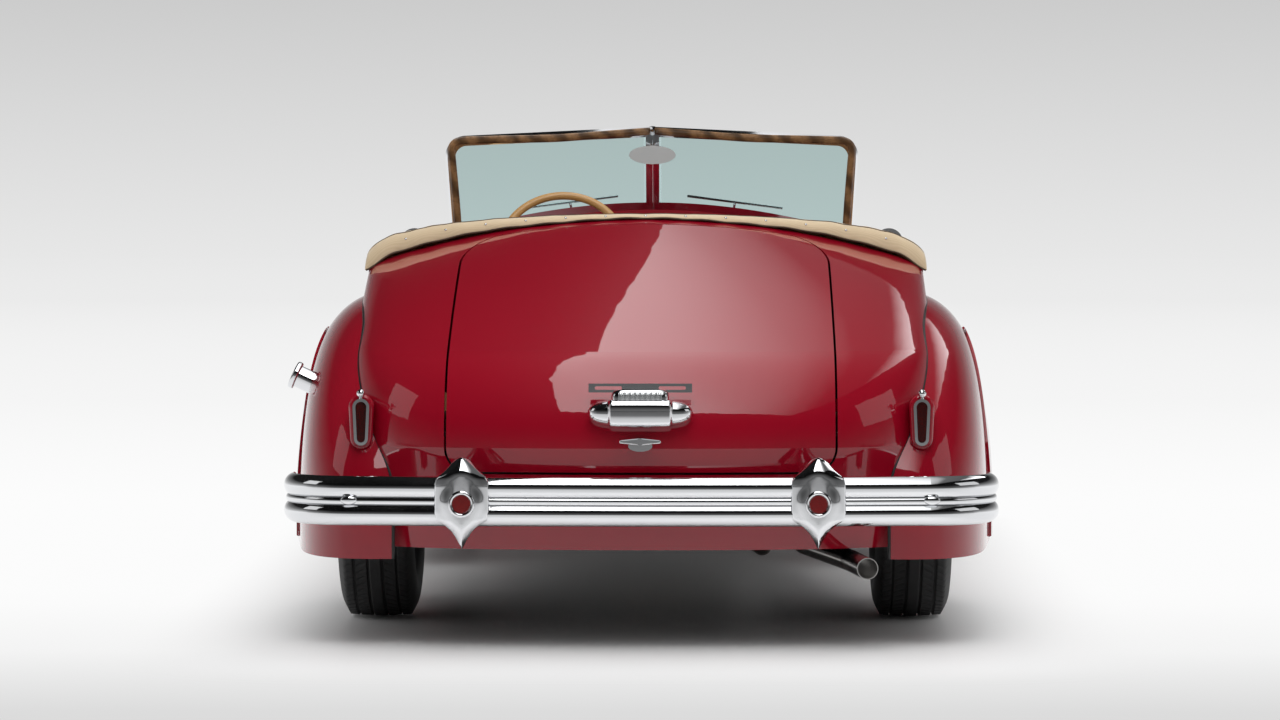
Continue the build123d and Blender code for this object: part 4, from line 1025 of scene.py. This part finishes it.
@dataclass
class BumperTrim:
    """The two shield-shaped guards with their reflector rings, and the bolt caps of the rear bumper."""

    guard_x: float = 0.456
    guard_half: float = 0.070
    face_y: float = -2.6325
    rim_drop: float = 0.019
    back_y: float = -2.583
    reflector_z: float = 0.382
    ring_radius: float = 0.0290
    ring_thick: float = 0.0055
    cap_at: Point = (0.748, -2.5775, 0.389)
    cap_half: Span = (0.021, 0.0115)
    outline: Table = (
        (0.02, 0.5005), (0.20, 0.4985), (0.36, 0.488), (0.52, 0.473), (0.68, 0.462),
        (0.93, 0.448), (1.0, 0.430), (1.0, 0.359), (0.93, 0.340), (0.60, 0.325),
        (0.36, 0.310), (0.20, 0.292), (0.07, 0.274), (0.01, 0.267),
    )

    def guard(self) -> Patch:
        """One guard: the outline's half widths carried down it, the face domed with a ridge in its tail."""
        path = resample(np.asarray(self.outline) * (self.guard_half, 1.0), 70, 5)
        half, z = path[:, 0][:, None], path[:, 1][:, None]
        share = np.linspace(-1.0, 1.0, 33)[None, :]
        tail = smoothstep(-z, -0.345, -0.285)
        power = 2.4 - 1.2 * tail
        lean = 0.020 * smoothstep(z, 0.452, 0.5015) ** 1.5 + 0.012 * smoothstep(-z, -0.330, -0.266)
        y = self.face_y + lean + self.rim_drop * np.abs(share) ** power
        boss = smoothstep(np.hypot(half * share, z - self.reflector_z), 0.030, 0.058)
        y = np.minimum(y, self.face_y + 0.0008) * (1 - boss) + y * boss
        front = grid(half * share, y, z)
        edges = [front[:, [side]] * (1.0, 0.0, 1.0) + (0.0, self.back_y, 0.0) for side in (0, -1)]
        loop = np.concatenate([edges[0], front, edges[1]], axis=1)
        rings = pointed(loop, loop[0].mean(axis=0), loop[-1].mean(axis=0))
        return Patch(rings + (self.guard_x, 0.0, 0.0), False, True)

    def cap(self) -> Patch:
        """One bolt cap: a dome turned about Y and stretched along the bumper."""
        flat = lathe(dome(self.cap_half[1], 0.007, 0.006), (0.0, 0.0, 0.0), BACKWARD, 32)
        stretch = self.cap_half[0] / self.cap_half[1]
        return Patch(flat.points * (stretch, 1.0, 1.0) + np.asarray(self.cap_at), False, True)

    def build(self) -> None:
        """Make the guards, rings and caps on both sides."""
        ring_at = (self.guard_x, self.face_y - 0.0015, self.reflector_z)
        loop = lathe(ring(self.ring_radius, self.ring_thick), ring_at, BACKWARD, 48)
        piece("rear_guards", self.guard().pair(), Finish.CHROME, replaces=("bumper_guards",))
        piece("reflector_rings", loop.pair(), Finish.CHROME)
        piece("bumper_caps", self.cap().pair(), Finish.CHROME)


@dataclass
class PlateLamp:
    """The sculpted lamp on the boot lid: a loaf with rounded ends, and a hood on top with a ribbed lens."""

    centre: Point = (0.0, -2.552, 0.612)
    half: float = 0.135
    block_half: float = 0.078
    block_size: Span = (0.0525, 0.0375)
    end_size: Span = (0.0420, 0.0335)
    hood_centre: Point = (0.0, -2.549, 0.640)
    hood_half: Point = (0.0745, 0.0425, 0.034)
    lens_half: float = 0.055
    lens_z: Span = (0.646, 0.667)

    @staticmethod
    def rounded(turn: Array, power: Array) -> tuple[Array, Array]:
        """The two coordinates of a power curve: a circle for 2, squarer above."""
        cosine, sine = np.cos(turn), np.sin(turn)
        reach = (np.abs(cosine) ** power + np.abs(sine) ** power) ** (-1.0 / power)
        return reach * cosine, reach * sine

    def loaf(self) -> Patch:
        """The loaf: power curves carried across the car, square in the block and round in the ends."""
        x = crowded(self.half, 121)[:, None]
        ends = smoothstep(np.abs(x), self.block_half - 0.002, self.block_half + 0.004)
        close = (1.0 - np.abs(x / self.half) ** 5) ** 0.5
        y, z = self.rounded(circle(64)[None, :], 4.0 - 1.6 * ends)
        depth, height = (
            (block - (block - end) * ends) * close for block, end in zip(self.block_size, self.end_size)
        )
        return Patch(grid(x, depth * y, height * z) + np.asarray(self.centre), False, True)

    def hood(self) -> Patch:
        """The hood: one power curve carried across, closing at both ends in another."""
        wide, deep, high = self.hood_half
        x = crowded(wide, 81)[:, None]
        close = (1.0 - np.abs(x / wide) ** 8) ** 0.25
        y, z = self.rounded(circle(64)[None, :], np.float64(4.0))
        points = grid(x, deep * close * y, high * close * z)
        return Patch(points + np.asarray(self.hood_centre), False, True)

    def lens(self) -> Patch:
        """The lens: the hood's own curve a little further out, rippled across the car."""
        x = np.linspace(-self.lens_half, self.lens_half, 161)[None, :]
        z = np.linspace(*self.lens_z, 13)[:, None]
        rise = (z - self.hood_centre[2]) / self.hood_half[2]
        y = self.hood_centre[1] - self.hood_half[1] * (1.0 - np.abs(rise) ** 4) ** 0.25
        y = y - 0.0012 - 0.0011 * np.abs(np.sin(np.pi * x / 0.0068))
        return Patch(grid(x, y, z))

    def build(self) -> None:
        """Make the lamp's body and lens on the lid."""
        piece("plate_lamp", [self.loaf(), self.hood()], Finish.CHROME, "boot_lid")
        name, patches = "plate_lamp_lens", [self.lens()]
        lens = piece(name, patches, Finish.LAMP_GLASS, "boot_lid", facing=BACKWARD)
        thicken(lens, 0.003, -1.0)


@dataclass
class RoadWheel:
    """A tyre with ribbed tread, and the chrome cap and ring of its wheel."""

    end: End
    side: Side
    centre_z: float = 0.362
    radius: float = 0.362
    crown_drop: float = 0.004
    belt: float = 0.084
    wide: float = 0.106
    bead: float = 0.2055
    flange: float = 0.2190
    flange_at: float = 0.077
    seat_at: float = 0.0655
    grooves: tuple[float, ...] = (-0.058, -0.020, 0.020, 0.058)
    groove_half: float = 0.0036
    groove_depth: float = 0.0070
    pitches: int = 90
    pitch_rows: int = 6
    shoulder_at: float = 0.062
    rib: Span = (0.026, 0.052)
    sipe_depth: float = 0.0045
    slant: float = 0.55
    cap_radius: float = 0.1515
    cap_dome: Point = (0.0825, 1.004, 28.46)
    cap_rings: tuple[Point, ...] = ((0.062, 0.004, 0.0022), (0.128, 0.006, 0.0025))
    cap_edge: Span = (0.0415, 0.0375)
    band_radius: float = 0.2065
    band_half: float = 0.0120

    @property
    def centre(self) -> Point:
        """The wheel's centre."""
        return (self.side.value * self.end.value[1], self.end.value[0], self.centre_z)

    @property
    def word(self) -> str:
        """The wheel's place in piece and body names."""
        return f"{self.end.word}_{self.side.word}"

    def section(self) -> Array:
        """The tyre's outline from bead to bead, as rows of distance across and radius."""
        turn = np.linspace(0.0, 1.0, 15)[:-1]
        wall_r = self.flange + (self.radius - 0.005 - self.flange) * turn
        bow = 4.0 * turn * (1.0 - turn)
        wall_a = self.flange_at + (self.belt - self.flange_at) * turn + (self.wide - 0.0805) * bow
        ribs = sum(0.0008 * np.exp(-(((turn - at) / 0.05) ** 2)) for at in (0.2, 0.75))
        wall = np.stack([wall_a + ribs, wall_r], axis=1)
        across = np.unique(np.concatenate([
            np.linspace(-self.belt, self.belt, 29),
            *[place + self.groove_half * np.array((-1.25, -0.8, 0.8, 1.25)) for place in self.grooves],
        ]))
        tread = np.stack([across, self.radius - self.crown_drop * (across / self.belt) ** 2], axis=1)
        heel = np.array([(self.seat_at, self.bead), (self.seat_at, self.flange - 0.002)])
        left = np.concatenate([heel, wall]) * (-1.0, 1.0)
        right = np.concatenate([heel, wall])[::-1]
        return np.concatenate([left, tread, right])

    def tyre(self) -> None:
        """Turn the outline about the axle; every row of points slants with the sipes cut along it."""
        section = self.section()
        across, reach = section[:, 0][None, :], section[:, 1][None, :]
        step = np.arange(self.pitches * self.pitch_rows)[:, None]
        spin = 2 * np.pi * step / len(step)
        spin = spin + self.slant * np.clip(np.abs(across), 0.0, self.belt) / self.radius
        tread = reach > self.radius - 0.0055
        gap = np.min(np.abs(across[..., None] - np.asarray(self.grooves)), axis=-1)
        cut = self.groove_depth * (gap < self.groove_half * 0.95) * tread
        row = step % self.pitch_rows
        shoulder = np.abs(across) > self.shoulder_at
        rib = (np.abs(across) > self.rib[0]) & (np.abs(across) < self.rib[1])
        sipe = np.where(shoulder, row == 0, (row == self.pitch_rows // 2) & rib) & tread
        radius = reach - np.maximum(cut, self.sipe_depth * sipe)
        points = grid(across, radius * np.cos(spin), radius * np.sin(spin)) + np.asarray(self.centre)
        name, patches = f"road_tyre_{self.word}", [Patch(points, True, True)]
        piece(name, patches, Finish.TYRE, f"wheel_{self.word}", (f"tyre_{self.word}",))

    def trim(self) -> None:
        """Lay the chrome cap over the hub, a shallow dome with two raised rings, and a ring round the rim."""
        edge = self.cap_radius
        reach = np.concatenate([np.linspace(0.0, edge, 40), [edge + 0.001, edge]])
        crown, second, fourth = self.cap_dome
        height = crown - second * reach**2 - fourth * reach**4
        for at, half, raised in self.cap_rings:
            height = height + raised * np.exp(-(((reach - at) / half) ** 2))
        height[-2:] = self.cap_edge
        axis = (self.side.value, 0.0, 0.0)
        cap = lathe(np.stack([reach, height], axis=1), self.centre, axis, 72)
        turn = np.linspace(0.0, np.pi, 13)
        across = self.band_radius - self.band_half * np.cos(turn)
        rim = np.stack([across, 0.0752 + 0.0042 * np.sin(turn)], axis=1)
        patches = [cap, lathe(rim, self.centre, axis, 96)]
        name, body = f"wheel_trim_{self.word}", f"wheel_{self.word}"
        piece(name, patches, Finish.CHROME, body, facing=axis)

    def build(self) -> None:
        """Make the tyre and the bright trim."""
        self.tyre()
        self.trim()


@dataclass
class Pad:
    """A pleated, stuffed seat pad."""

    name: str
    middle: Point
    half: Point
    lean: float
    node: str
    panel: Point
    pleats: int = 11
    voxel: float = 0.013
    cap: float = 0.016
    channel: float = 0.007
    fill: float = 0.7
    pressure: float = 4.0
    frames: int = 20

    def block(self) -> Patch:
        """A rounded block that leans back: a ball with its sines and cosines raised to a low power."""
        around = circle(96)[None, :]
        up = np.linspace(-np.pi / 2, np.pi / 2, 49)[:, None]
        level, rise = soft(np.cos(up), 0.30), soft(np.sin(up), 0.30)
        x, y = level * soft(np.cos(around), 0.30), level * soft(np.sin(around), 0.30)
        points = grid(x, y, rise) * (np.asarray(self.half) - 0.008)
        points[..., 1] -= self.lean * points[..., 2]
        return Patch(points + np.asarray(self.middle), False, True)

    def inflate(self, obj: Object) -> None:
        """Swell the cover under pressure as cloth, with a cap on how far a point may move.

        Args:
            obj: the pad.
        """
        remesh = obj.modifiers.new("skin", "REMESH")
        remesh.mode = "VOXEL"
        remesh.voxel_size = self.voxel
        self.apply(obj)
        start = vectors(obj.data.vertices, "co")
        cloth = obj.modifiers.new("stuffing", "CLOTH")
        cloth.settings.use_pressure = True
        cloth.settings.uniform_pressure_force = self.pressure
        cloth.settings.quality = 4
        cloth.settings.effector_weights.gravity = 0.0
        cloth.point_cache.frame_start = 1
        cloth.point_cache.frame_end = self.frames
        for frame in range(1, self.frames + 1):
            bpy.context.scene.frame_set(frame)
        self.apply(obj)
        bpy.context.scene.frame_set(1)
        move = vectors(obj.data.vertices, "co") - start
        size = np.linalg.norm(move, axis=1, keepdims=True)
        kept = start + move * np.minimum(1.0, self.cap / np.maximum(size, 1e-9))
        obj.data.vertices.foreach_set("co", kept.astype(np.float32).ravel())

    @staticmethod
    def apply(obj: Object) -> None:
        """Put the modifiers' result into the mesh and take them off."""
        shown = obj.evaluated_get(bpy.context.evaluated_depsgraph_get())
        mesh = bpy.data.meshes.new_from_object(shown)
        obj.modifiers.clear()
        old, obj.data = obj.data, mesh
        bpy.data.meshes.remove(old)

    def sew(self, obj: Object) -> None:
        """Press the sewn channels in: narrow grooves across the pad's face, set in from its edges.

        Args:
            obj: the pad.
        """
        mesh = obj.data
        points, normals = vectors(mesh.vertices, "co"), vectors(mesh.vertex_normals, "vector")
        place = points - np.asarray(self.middle)
        share = place[:, 0] / (self.half[0] - 0.085)
        groove = np.abs(np.sin(np.pi * self.pleats * (share + 1.0) / 2.0))
        facing = smoothstep(normals @ unit(np.asarray(self.panel)), 0.45, 0.85)
        inside = 1.0 - smoothstep(np.abs(share), 0.97, 1.03)
        press = self.channel * (np.sqrt(np.clip(groove, 0.0, 1.0)) - 1.0) * facing * inside
        points = points + normals * press[:, None]
        mesh.vertices.foreach_set("co", points.astype(np.float32).ravel())
        mesh.polygons.foreach_set("use_smooth", np.ones(len(mesh.polygons), dtype=bool))
        mesh.update()

    def build(self) -> None:
        """Make the pad: block, swelling, channels and one subdivision."""
        pad = piece(self.name, [self.block()], Finish.LEATHER, replaces=(self.node,))
        self.inflate(pad)
        self.sew(pad)
        finer = pad.modifiers.new("finer", "SUBSURF")
        finer.levels = finer.render_levels = 1


@dataclass
class Seats:
    """The front and rear bench seats."""

    up: Point = UP
    ahead: Point = (0.0, 1.0, 0.15)

    def build(self) -> None:
        """Make the four pads."""
        front, rear = "front_seat", "rear_seat"
        pads = (
            Pad("front_cushion", (0.0, -0.243, 0.452), (0.586, 0.247, 0.134), 0.0, front, self.up),
            Pad("front_backrest", (0.0, -0.553, 0.730), (0.586, 0.070, 0.228), 0.13, front, self.ahead),
            Pad("rear_cushion", (0.0, -0.843, 0.460), (0.566, 0.207, 0.136), 0.0, rear, self.up),
            Pad("rear_backrest", (0.0, -1.105, 0.730), (0.566, 0.066, 0.218), 0.13, rear, self.ahead),
        )
        for pad in pads:
            pad.build()


@dataclass
class Pillow:
    """An upright padded panel that thins to its edges, with a roll along it."""

    span_y: Span
    span_z: Span
    columns: int
    rows: int = 61
    thick: float = 0.013
    edge: float = 8.0
    roll_z: float = 0.752
    roll_half: float = 0.012
    roll_thick: float = 0.006

    def layout(self) -> tuple[Array, ...]:
        """Lay the panel out: the swelling falls from 1 to 0 at its edges, and the roll is a bell in height.

        Returns:
            Shares along it from -1 to 1, the places in Y and in Z, the swelling and the padding's depth.
        """
        along = np.linspace(-1.0, 1.0, self.columns)[None, :]
        up = np.linspace(-1.0, 1.0, self.rows)[:, None]
        y = np.mean(self.span_y) + along * np.ptp(self.span_y) / 2
        z = np.mean(self.span_z) + up * np.ptp(self.span_z) / 2
        swell = ((1.0 - np.abs(along) ** self.edge) * (1.0 - np.abs(up) ** self.edge)) ** 0.5
        roll = self.roll_thick * np.exp(-(((z - self.roll_z) / self.roll_half) ** 2))
        return along, y, z, swell, (self.thick + roll) * swell


@dataclass
class DoorTrim:
    """The padded panel, handles and crank of one door."""

    side: Side
    pad: Pillow = field(default_factory=lambda: Pillow((-0.690, 0.125), (0.455, 0.930), 161))
    pleat: float = 0.070
    inner: Table = (
        (-0.700, 0.707), (-0.555, 0.7045), (-0.445, 0.697), (-0.335, 0.6895), (-0.225, 0.677),
        (-0.115, 0.664), (0.0, 0.647), (0.100, 0.629), (0.152, 0.619),
    )
    handle_y: float = -0.585
    handle_z: float = 0.800
    crank_ahead: float = 0.270
    grip_z: float = 0.865
    outer_x: float = 0.776

    def face(self, y: Array) -> Array:
        """How far out the door's inner face is, along the car."""
        table = np.asarray(self.inner)
        return np.interp(y, table[:, 0], table[:, 1])

    def panel(self) -> None:
        """Make the panel: a pillow on the inner face, with upright pleats in its lower part."""
        along, y, z, swell, depth = self.pad.layout()
        low = smoothstep(-z, -0.745, -0.725) * (1.0 - np.abs(along) ** 30)
        pleats = 0.0045 * (np.sqrt(np.abs(np.sin(np.pi * y / self.pleat))) - 1.0) * low * swell
        base = self.face(y)
        patches = [Patch(grid(self.side.value * x, y, z)) for x in (base - depth - pleats, base)]
        word = self.side.word
        panel = piece(f"door_panel_{word}", patches, Finish.LEATHER, f"door_{word}")

    def handles(self) -> None:
        """Make the bright fittings: a lever and a crank inside, and a grip handle outside."""
        lever_y, crank_y = self.handle_y, self.handle_y + self.crank_ahead
        lever_x, crank_x = self.face(np.array((lever_y, crank_y))) - self.pad.thick
        z, crank_z, outer_x, grip_z = self.handle_z, self.handle_z - 0.02, self.outer_x, self.grip_z
        rose = dome(0.021, 0.007, 0.003)
        bend = np.linspace(0.0, np.pi / 2, 9)
        curve = grid(lever_x - 0.028 * np.sin(bend), lever_y + 0.020 * (1 - np.cos(bend)), np.float64(z))
        lever = np.concatenate([curve, [(lever_x - 0.030, lever_y + 0.110, z - 0.004)]])
        arm = np.array([
            (crank_x, crank_y, crank_z),
            (crank_x - 0.022, crank_y, crank_z),
            (crank_x - 0.026, crank_y + 0.020, crank_z - 0.03),
            (crank_x - 0.030, crank_y + 0.040, crank_z - 0.07),
        ])
        knob_at = (crank_x - 0.028, crank_y + 0.040, crank_z - 0.07)
        grip = np.array([
            (outer_x - 0.004, lever_y - 0.085, grip_z),
            (outer_x + 0.024, lever_y - 0.075, grip_z),
            (outer_x + 0.028, lever_y - 0.040, grip_z),
            (outer_x + 0.026, lever_y + 0.060, grip_z),
            (outer_x + 0.022, lever_y + 0.085, grip_z),
        ])
        patches = [
            lathe(rose, (lever_x, lever_y, z), LEFTWARD, 32),
            tube(resample(lever, 26, 6), 0.0062, UP, 12),
            lathe(rose, (crank_x, crank_y, crank_z), LEFTWARD, 32),
            tube(resample(arm, 26, 12), 0.0058, (0.0, 1.0, 1.0), 12),
            lathe(dome(0.013, 0.026, 0.004), knob_at, LEFTWARD, 24),
            tube(resample(grip, 40, 16), 0.0085, UP, 14),
            lathe(dome(0.019, 0.006, 0.006), tuple(grip[0]), RIGHTWARD, 28),
        ]
        if self.side is Side.LEFT:
            patches = [patch.mirrored() for patch in patches]
        word = self.side.word
        piece(f"door_handles_{word}", patches, Finish.CHROME, f"door_{word}")

    def build(self) -> None:
        """Make the panel and the handles."""
        self.panel()
        self.handles()


@dataclass
class WindshieldTrim:
    """The brown-streaked inner face of the windshield frame."""

    base: Point = (0.0, 0.362, 1.140)
    corner: Point = (0.622, 0.157, 1.030)
    top: Point = (0.0, 0.242, 1.400)
    top_corner: Span = (0.641, 1.364)
    inset: float = 0.0145
    half_width: float = 0.0130
    half_depth: float = 0.0060
    behind: float = 0.0110
    rounding: int = 16

    def strip(self) -> Patch:
        """The right pane's strip: an ellipse carried up the post and along the header, behind the frame."""
        base, corner, top = (np.asarray(point) for point in (self.base, self.corner, self.top))
        square = unit(np.cross(corner - base, top - base))
        square = square if square[1] < 0 else -square
        x, z = self.top_corner
        y = base[1] - (square[0] * (x - base[0]) + square[2] * (z - base[2])) / square[1]
        far = np.array((x, y, z))
        middle = (base + corner + far + top) / 4
        path = resample(np.stack([corner, far, top]), 240, self.rounding)
        inward = unit(middle - path)
        path = path + self.inset * inward + self.behind * square
        along = unit(np.gradient(path, axis=0))
        across = unit(np.cross(square, along))
        turn = circle(14)[None, :, None]
        flat = self.half_width * np.cos(turn) * across[:, None] + self.half_depth * np.sin(turn) * square
        return Patch(pointed(path[:, None] + flat, path[0], path[-1]), False, True)

    def build(self) -> None:
        """Make the strips of both panes."""
        piece("windshield_veneer", self.strip().pair(), Finish.WOOD)


@dataclass
class Dials:
    """The dials, knobs and bars on the instrument board."""

    face_y: float = 0.162
    dial_radius: float = 0.056
    dial_z: float = 1.022
    dials_x: tuple[float, ...] = (-0.345, -0.200, 0.345)
    ticks: int = 20
    sweep_deg: float = 130.0
    tick: Point = (0.040, 0.044, 0.048)
    hand: Point = (-0.012, 0.01, 0.042)
    knobs_x: tuple[float, ...] = (-0.11, -0.055, 0.055, 0.11)
    knob_z: float = 0.925
    knob: Table = (
        (0.0, 0.030), (0.011, 0.028), (0.0135, 0.023), (0.0125, 0.016), (0.006, 0.012), (0.006, 0.0),
    )
    bars: int = 9
    bars_z: Span = (0.965, 1.080)
    bar_half: float = 0.105
    bar_radius: float = 0.0042

    def build(self) -> None:
        """Make the cream faces, the bright rims, bars and knobs, and the dark marks and hands."""
        faces, rims, marks = [], [], []
        disc = np.array([(0.0, 0.003), (self.dial_radius, 0.003), (self.dial_radius, 0.0)])
        for x in self.dials_x:
            at = np.array((x, self.face_y, self.dial_z))
            faces.append(lathe(disc, at, BACKWARD, 48))
            band = ring(self.dial_radius + 0.002, 0.0055)
            rims.append(lathe(band, at + (0.0, -0.003, 0.0), BACKWARD, 48))
            for angle in np.radians(np.linspace(-self.sweep_deg, self.sweep_deg, self.ticks)):
                way = np.array((math.sin(angle), 0.0, math.cos(angle)))
                line = at + (0.0, -0.0035, 0.0) + np.array(self.tick)[:, None] * way
                marks.append(tube(line, 0.0011, FORWARD, 6))
            line = at + (0.0, -0.0055, 0.0) + np.array(self.hand)[:, None] * (-0.6, 0.0, 0.8)
            marks.append(tube(line, 0.0014, FORWARD, 6))
            marks.append(lathe(dome(0.006, 0.004, 0.005), at + (0.0, -0.004, 0.0), BACKWARD, 20))
        knob = np.array(self.knob)
        knobs = [lathe(knob, (x, self.face_y, self.knob_z), BACKWARD, 28) for x in self.knobs_x]
        for z in np.linspace(*self.bars_z, self.bars):
            across = np.linspace(-self.bar_half, self.bar_half, 7)
            line = grid(across, np.float64(self.face_y - 0.003), z)
            rims.append(tube(line, self.bar_radius, UP, 8))
        piece("dial_faces", faces, Finish.DIAL)
        piece("dial_rims", rims, Finish.CHROME)
        piece("dial_marks", marks, Finish.WELT)
        piece("dash_knobs", knobs, Finish.IVORY)


@dataclass
class Grille:
    """The upright slats of the radiator opening, their cross rods and the bright rim."""

    front_y: float = 2.328
    half: float = 0.184
    shoulder_z: float = 0.850
    crown_z: float = 0.973
    foot_z: float = 0.440
    pitch: float = 0.0175
    slats: int = 21
    slat_radius: float = 0.0052
    slat_back: float = 0.016
    rod_radius: float = 0.0042
    rod_back: float = 0.026
    rim_out: float = 0.006
    rim_radius: float = 0.0075
    rods_z: tuple[float, ...] = (0.500, 0.640, 0.780)

    def arch(self, x: Array) -> Array:
        """The opening's height across it: half an ellipse on upright sides."""
        share = np.clip(1.0 - (x / self.half) ** 2, 0.0, 1.0)
        return self.shoulder_z + (self.crown_z - self.shoulder_z) * np.sqrt(share)

    def build(self) -> None:
        """Stand the slats between the foot and the arch, and carry the rim round the opening."""
        places = (np.arange(self.slats) - (self.slats - 1) / 2) * self.pitch
        slats = []
        for x, top in zip(places, self.arch(places) - 0.002):
            line = grid(x, np.float64(self.front_y - self.slat_back), np.linspace(self.foot_z, top, 5))
            slats.append(tube(line, self.slat_radius, FORWARD, 12))
        for z in self.rods_z:
            across = np.linspace(-self.half, self.half, 5)
            line = grid(across, np.float64(self.front_y - self.rod_back), np.float64(z))
            slats.append(tube(line, self.rod_radius, UP, 10))
        turn = np.linspace(np.pi, 0.0, 60)
        half, foot = self.half + self.rim_out, self.foot_z - 0.016
        bow = (self.crown_z - self.shoulder_z + self.rim_out) * np.sin(turn)
        rim_x = np.concatenate([[-half], half * np.cos(turn), [half]])
        rim_z = np.concatenate([[foot], self.shoulder_z + bow, [foot]])
        rim = resample(grid(rim_x, np.float64(self.front_y), rim_z), 140)
        piece("grille_slats", slats, Finish.CHROME, replaces=("grille_bars",))
        piece("grille_rim", [tube(rim, self.rim_radius, FORWARD, 12)], Finish.CHROME)


@dataclass
class CabinLining:
    """The padded side panels by the rear seat and the dark board behind it."""

    pad: Pillow = field(default_factory=lambda: Pillow((-1.125, -0.725), (0.420, 0.940), 81))
    inner_x: float = 0.732
    board_y: float = -1.2055
    board_half: Span = (0.610, 0.215)
    board_z: float = 0.790

    def panel(self) -> Patch:
        """The right panel's face: a pillow on the body's inner face."""
        _, y, z, _, depth = self.pad.layout()
        return Patch(grid(self.inner_x - depth, y, z))

    def board(self) -> Patch:
        """The board: a rounded rectangle drawn as a power curve, bowed slightly and with a turned edge."""
        turn = circle(96)[None, :]
        shares = np.array((0.0, 0.5, 0.9, 1.0, 1.0, 0.0))[:, None]
        depths = np.array((-0.006, -0.006, -0.005, -0.002, 0.002, 0.002))[:, None]
        x = self.board_half[0] * soft(np.cos(turn), 0.35)
        z = self.board_half[1] * soft(np.sin(turn), 0.35)
        return Patch(grid(shares * x, self.board_y + depths, self.board_z + shares * z), False, True)

    def build(self) -> None:
        """Make the two panels and the board."""
        face = self.panel()
        back = Patch(face.points * (0.0, 1.0, 1.0) + (self.inner_x, 0.0, 0.0))
        for side in Side:
            patches = [patch if side is Side.RIGHT else patch.mirrored() for patch in (face, back)]
            panel = piece(f"quarter_panel_{side.word}", patches, Finish.LEATHER)
        piece("boot_board", [self.board()], Finish.CARPET)


def main() -> None:
    """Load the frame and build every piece."""
    logging.basicConfig(level=logging.INFO, format="%(message)s")
    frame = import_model()
    Studio().build()
    PackedNodes().dress(frame)
    FenderWelts().build(frame)
    TopCover().build()
    BumperTrim().build()
    PlateLamp().build()
    for end in End:
        for side in Side:
            RoadWheel(end, side).build()
    Seats().build()
    for side in Side:
        DoorTrim(side).build()
    WindshieldTrim().build()
    Dials().build()
    CabinLining().build()
    Grille().build()


if __name__ == "__main__":
    main()
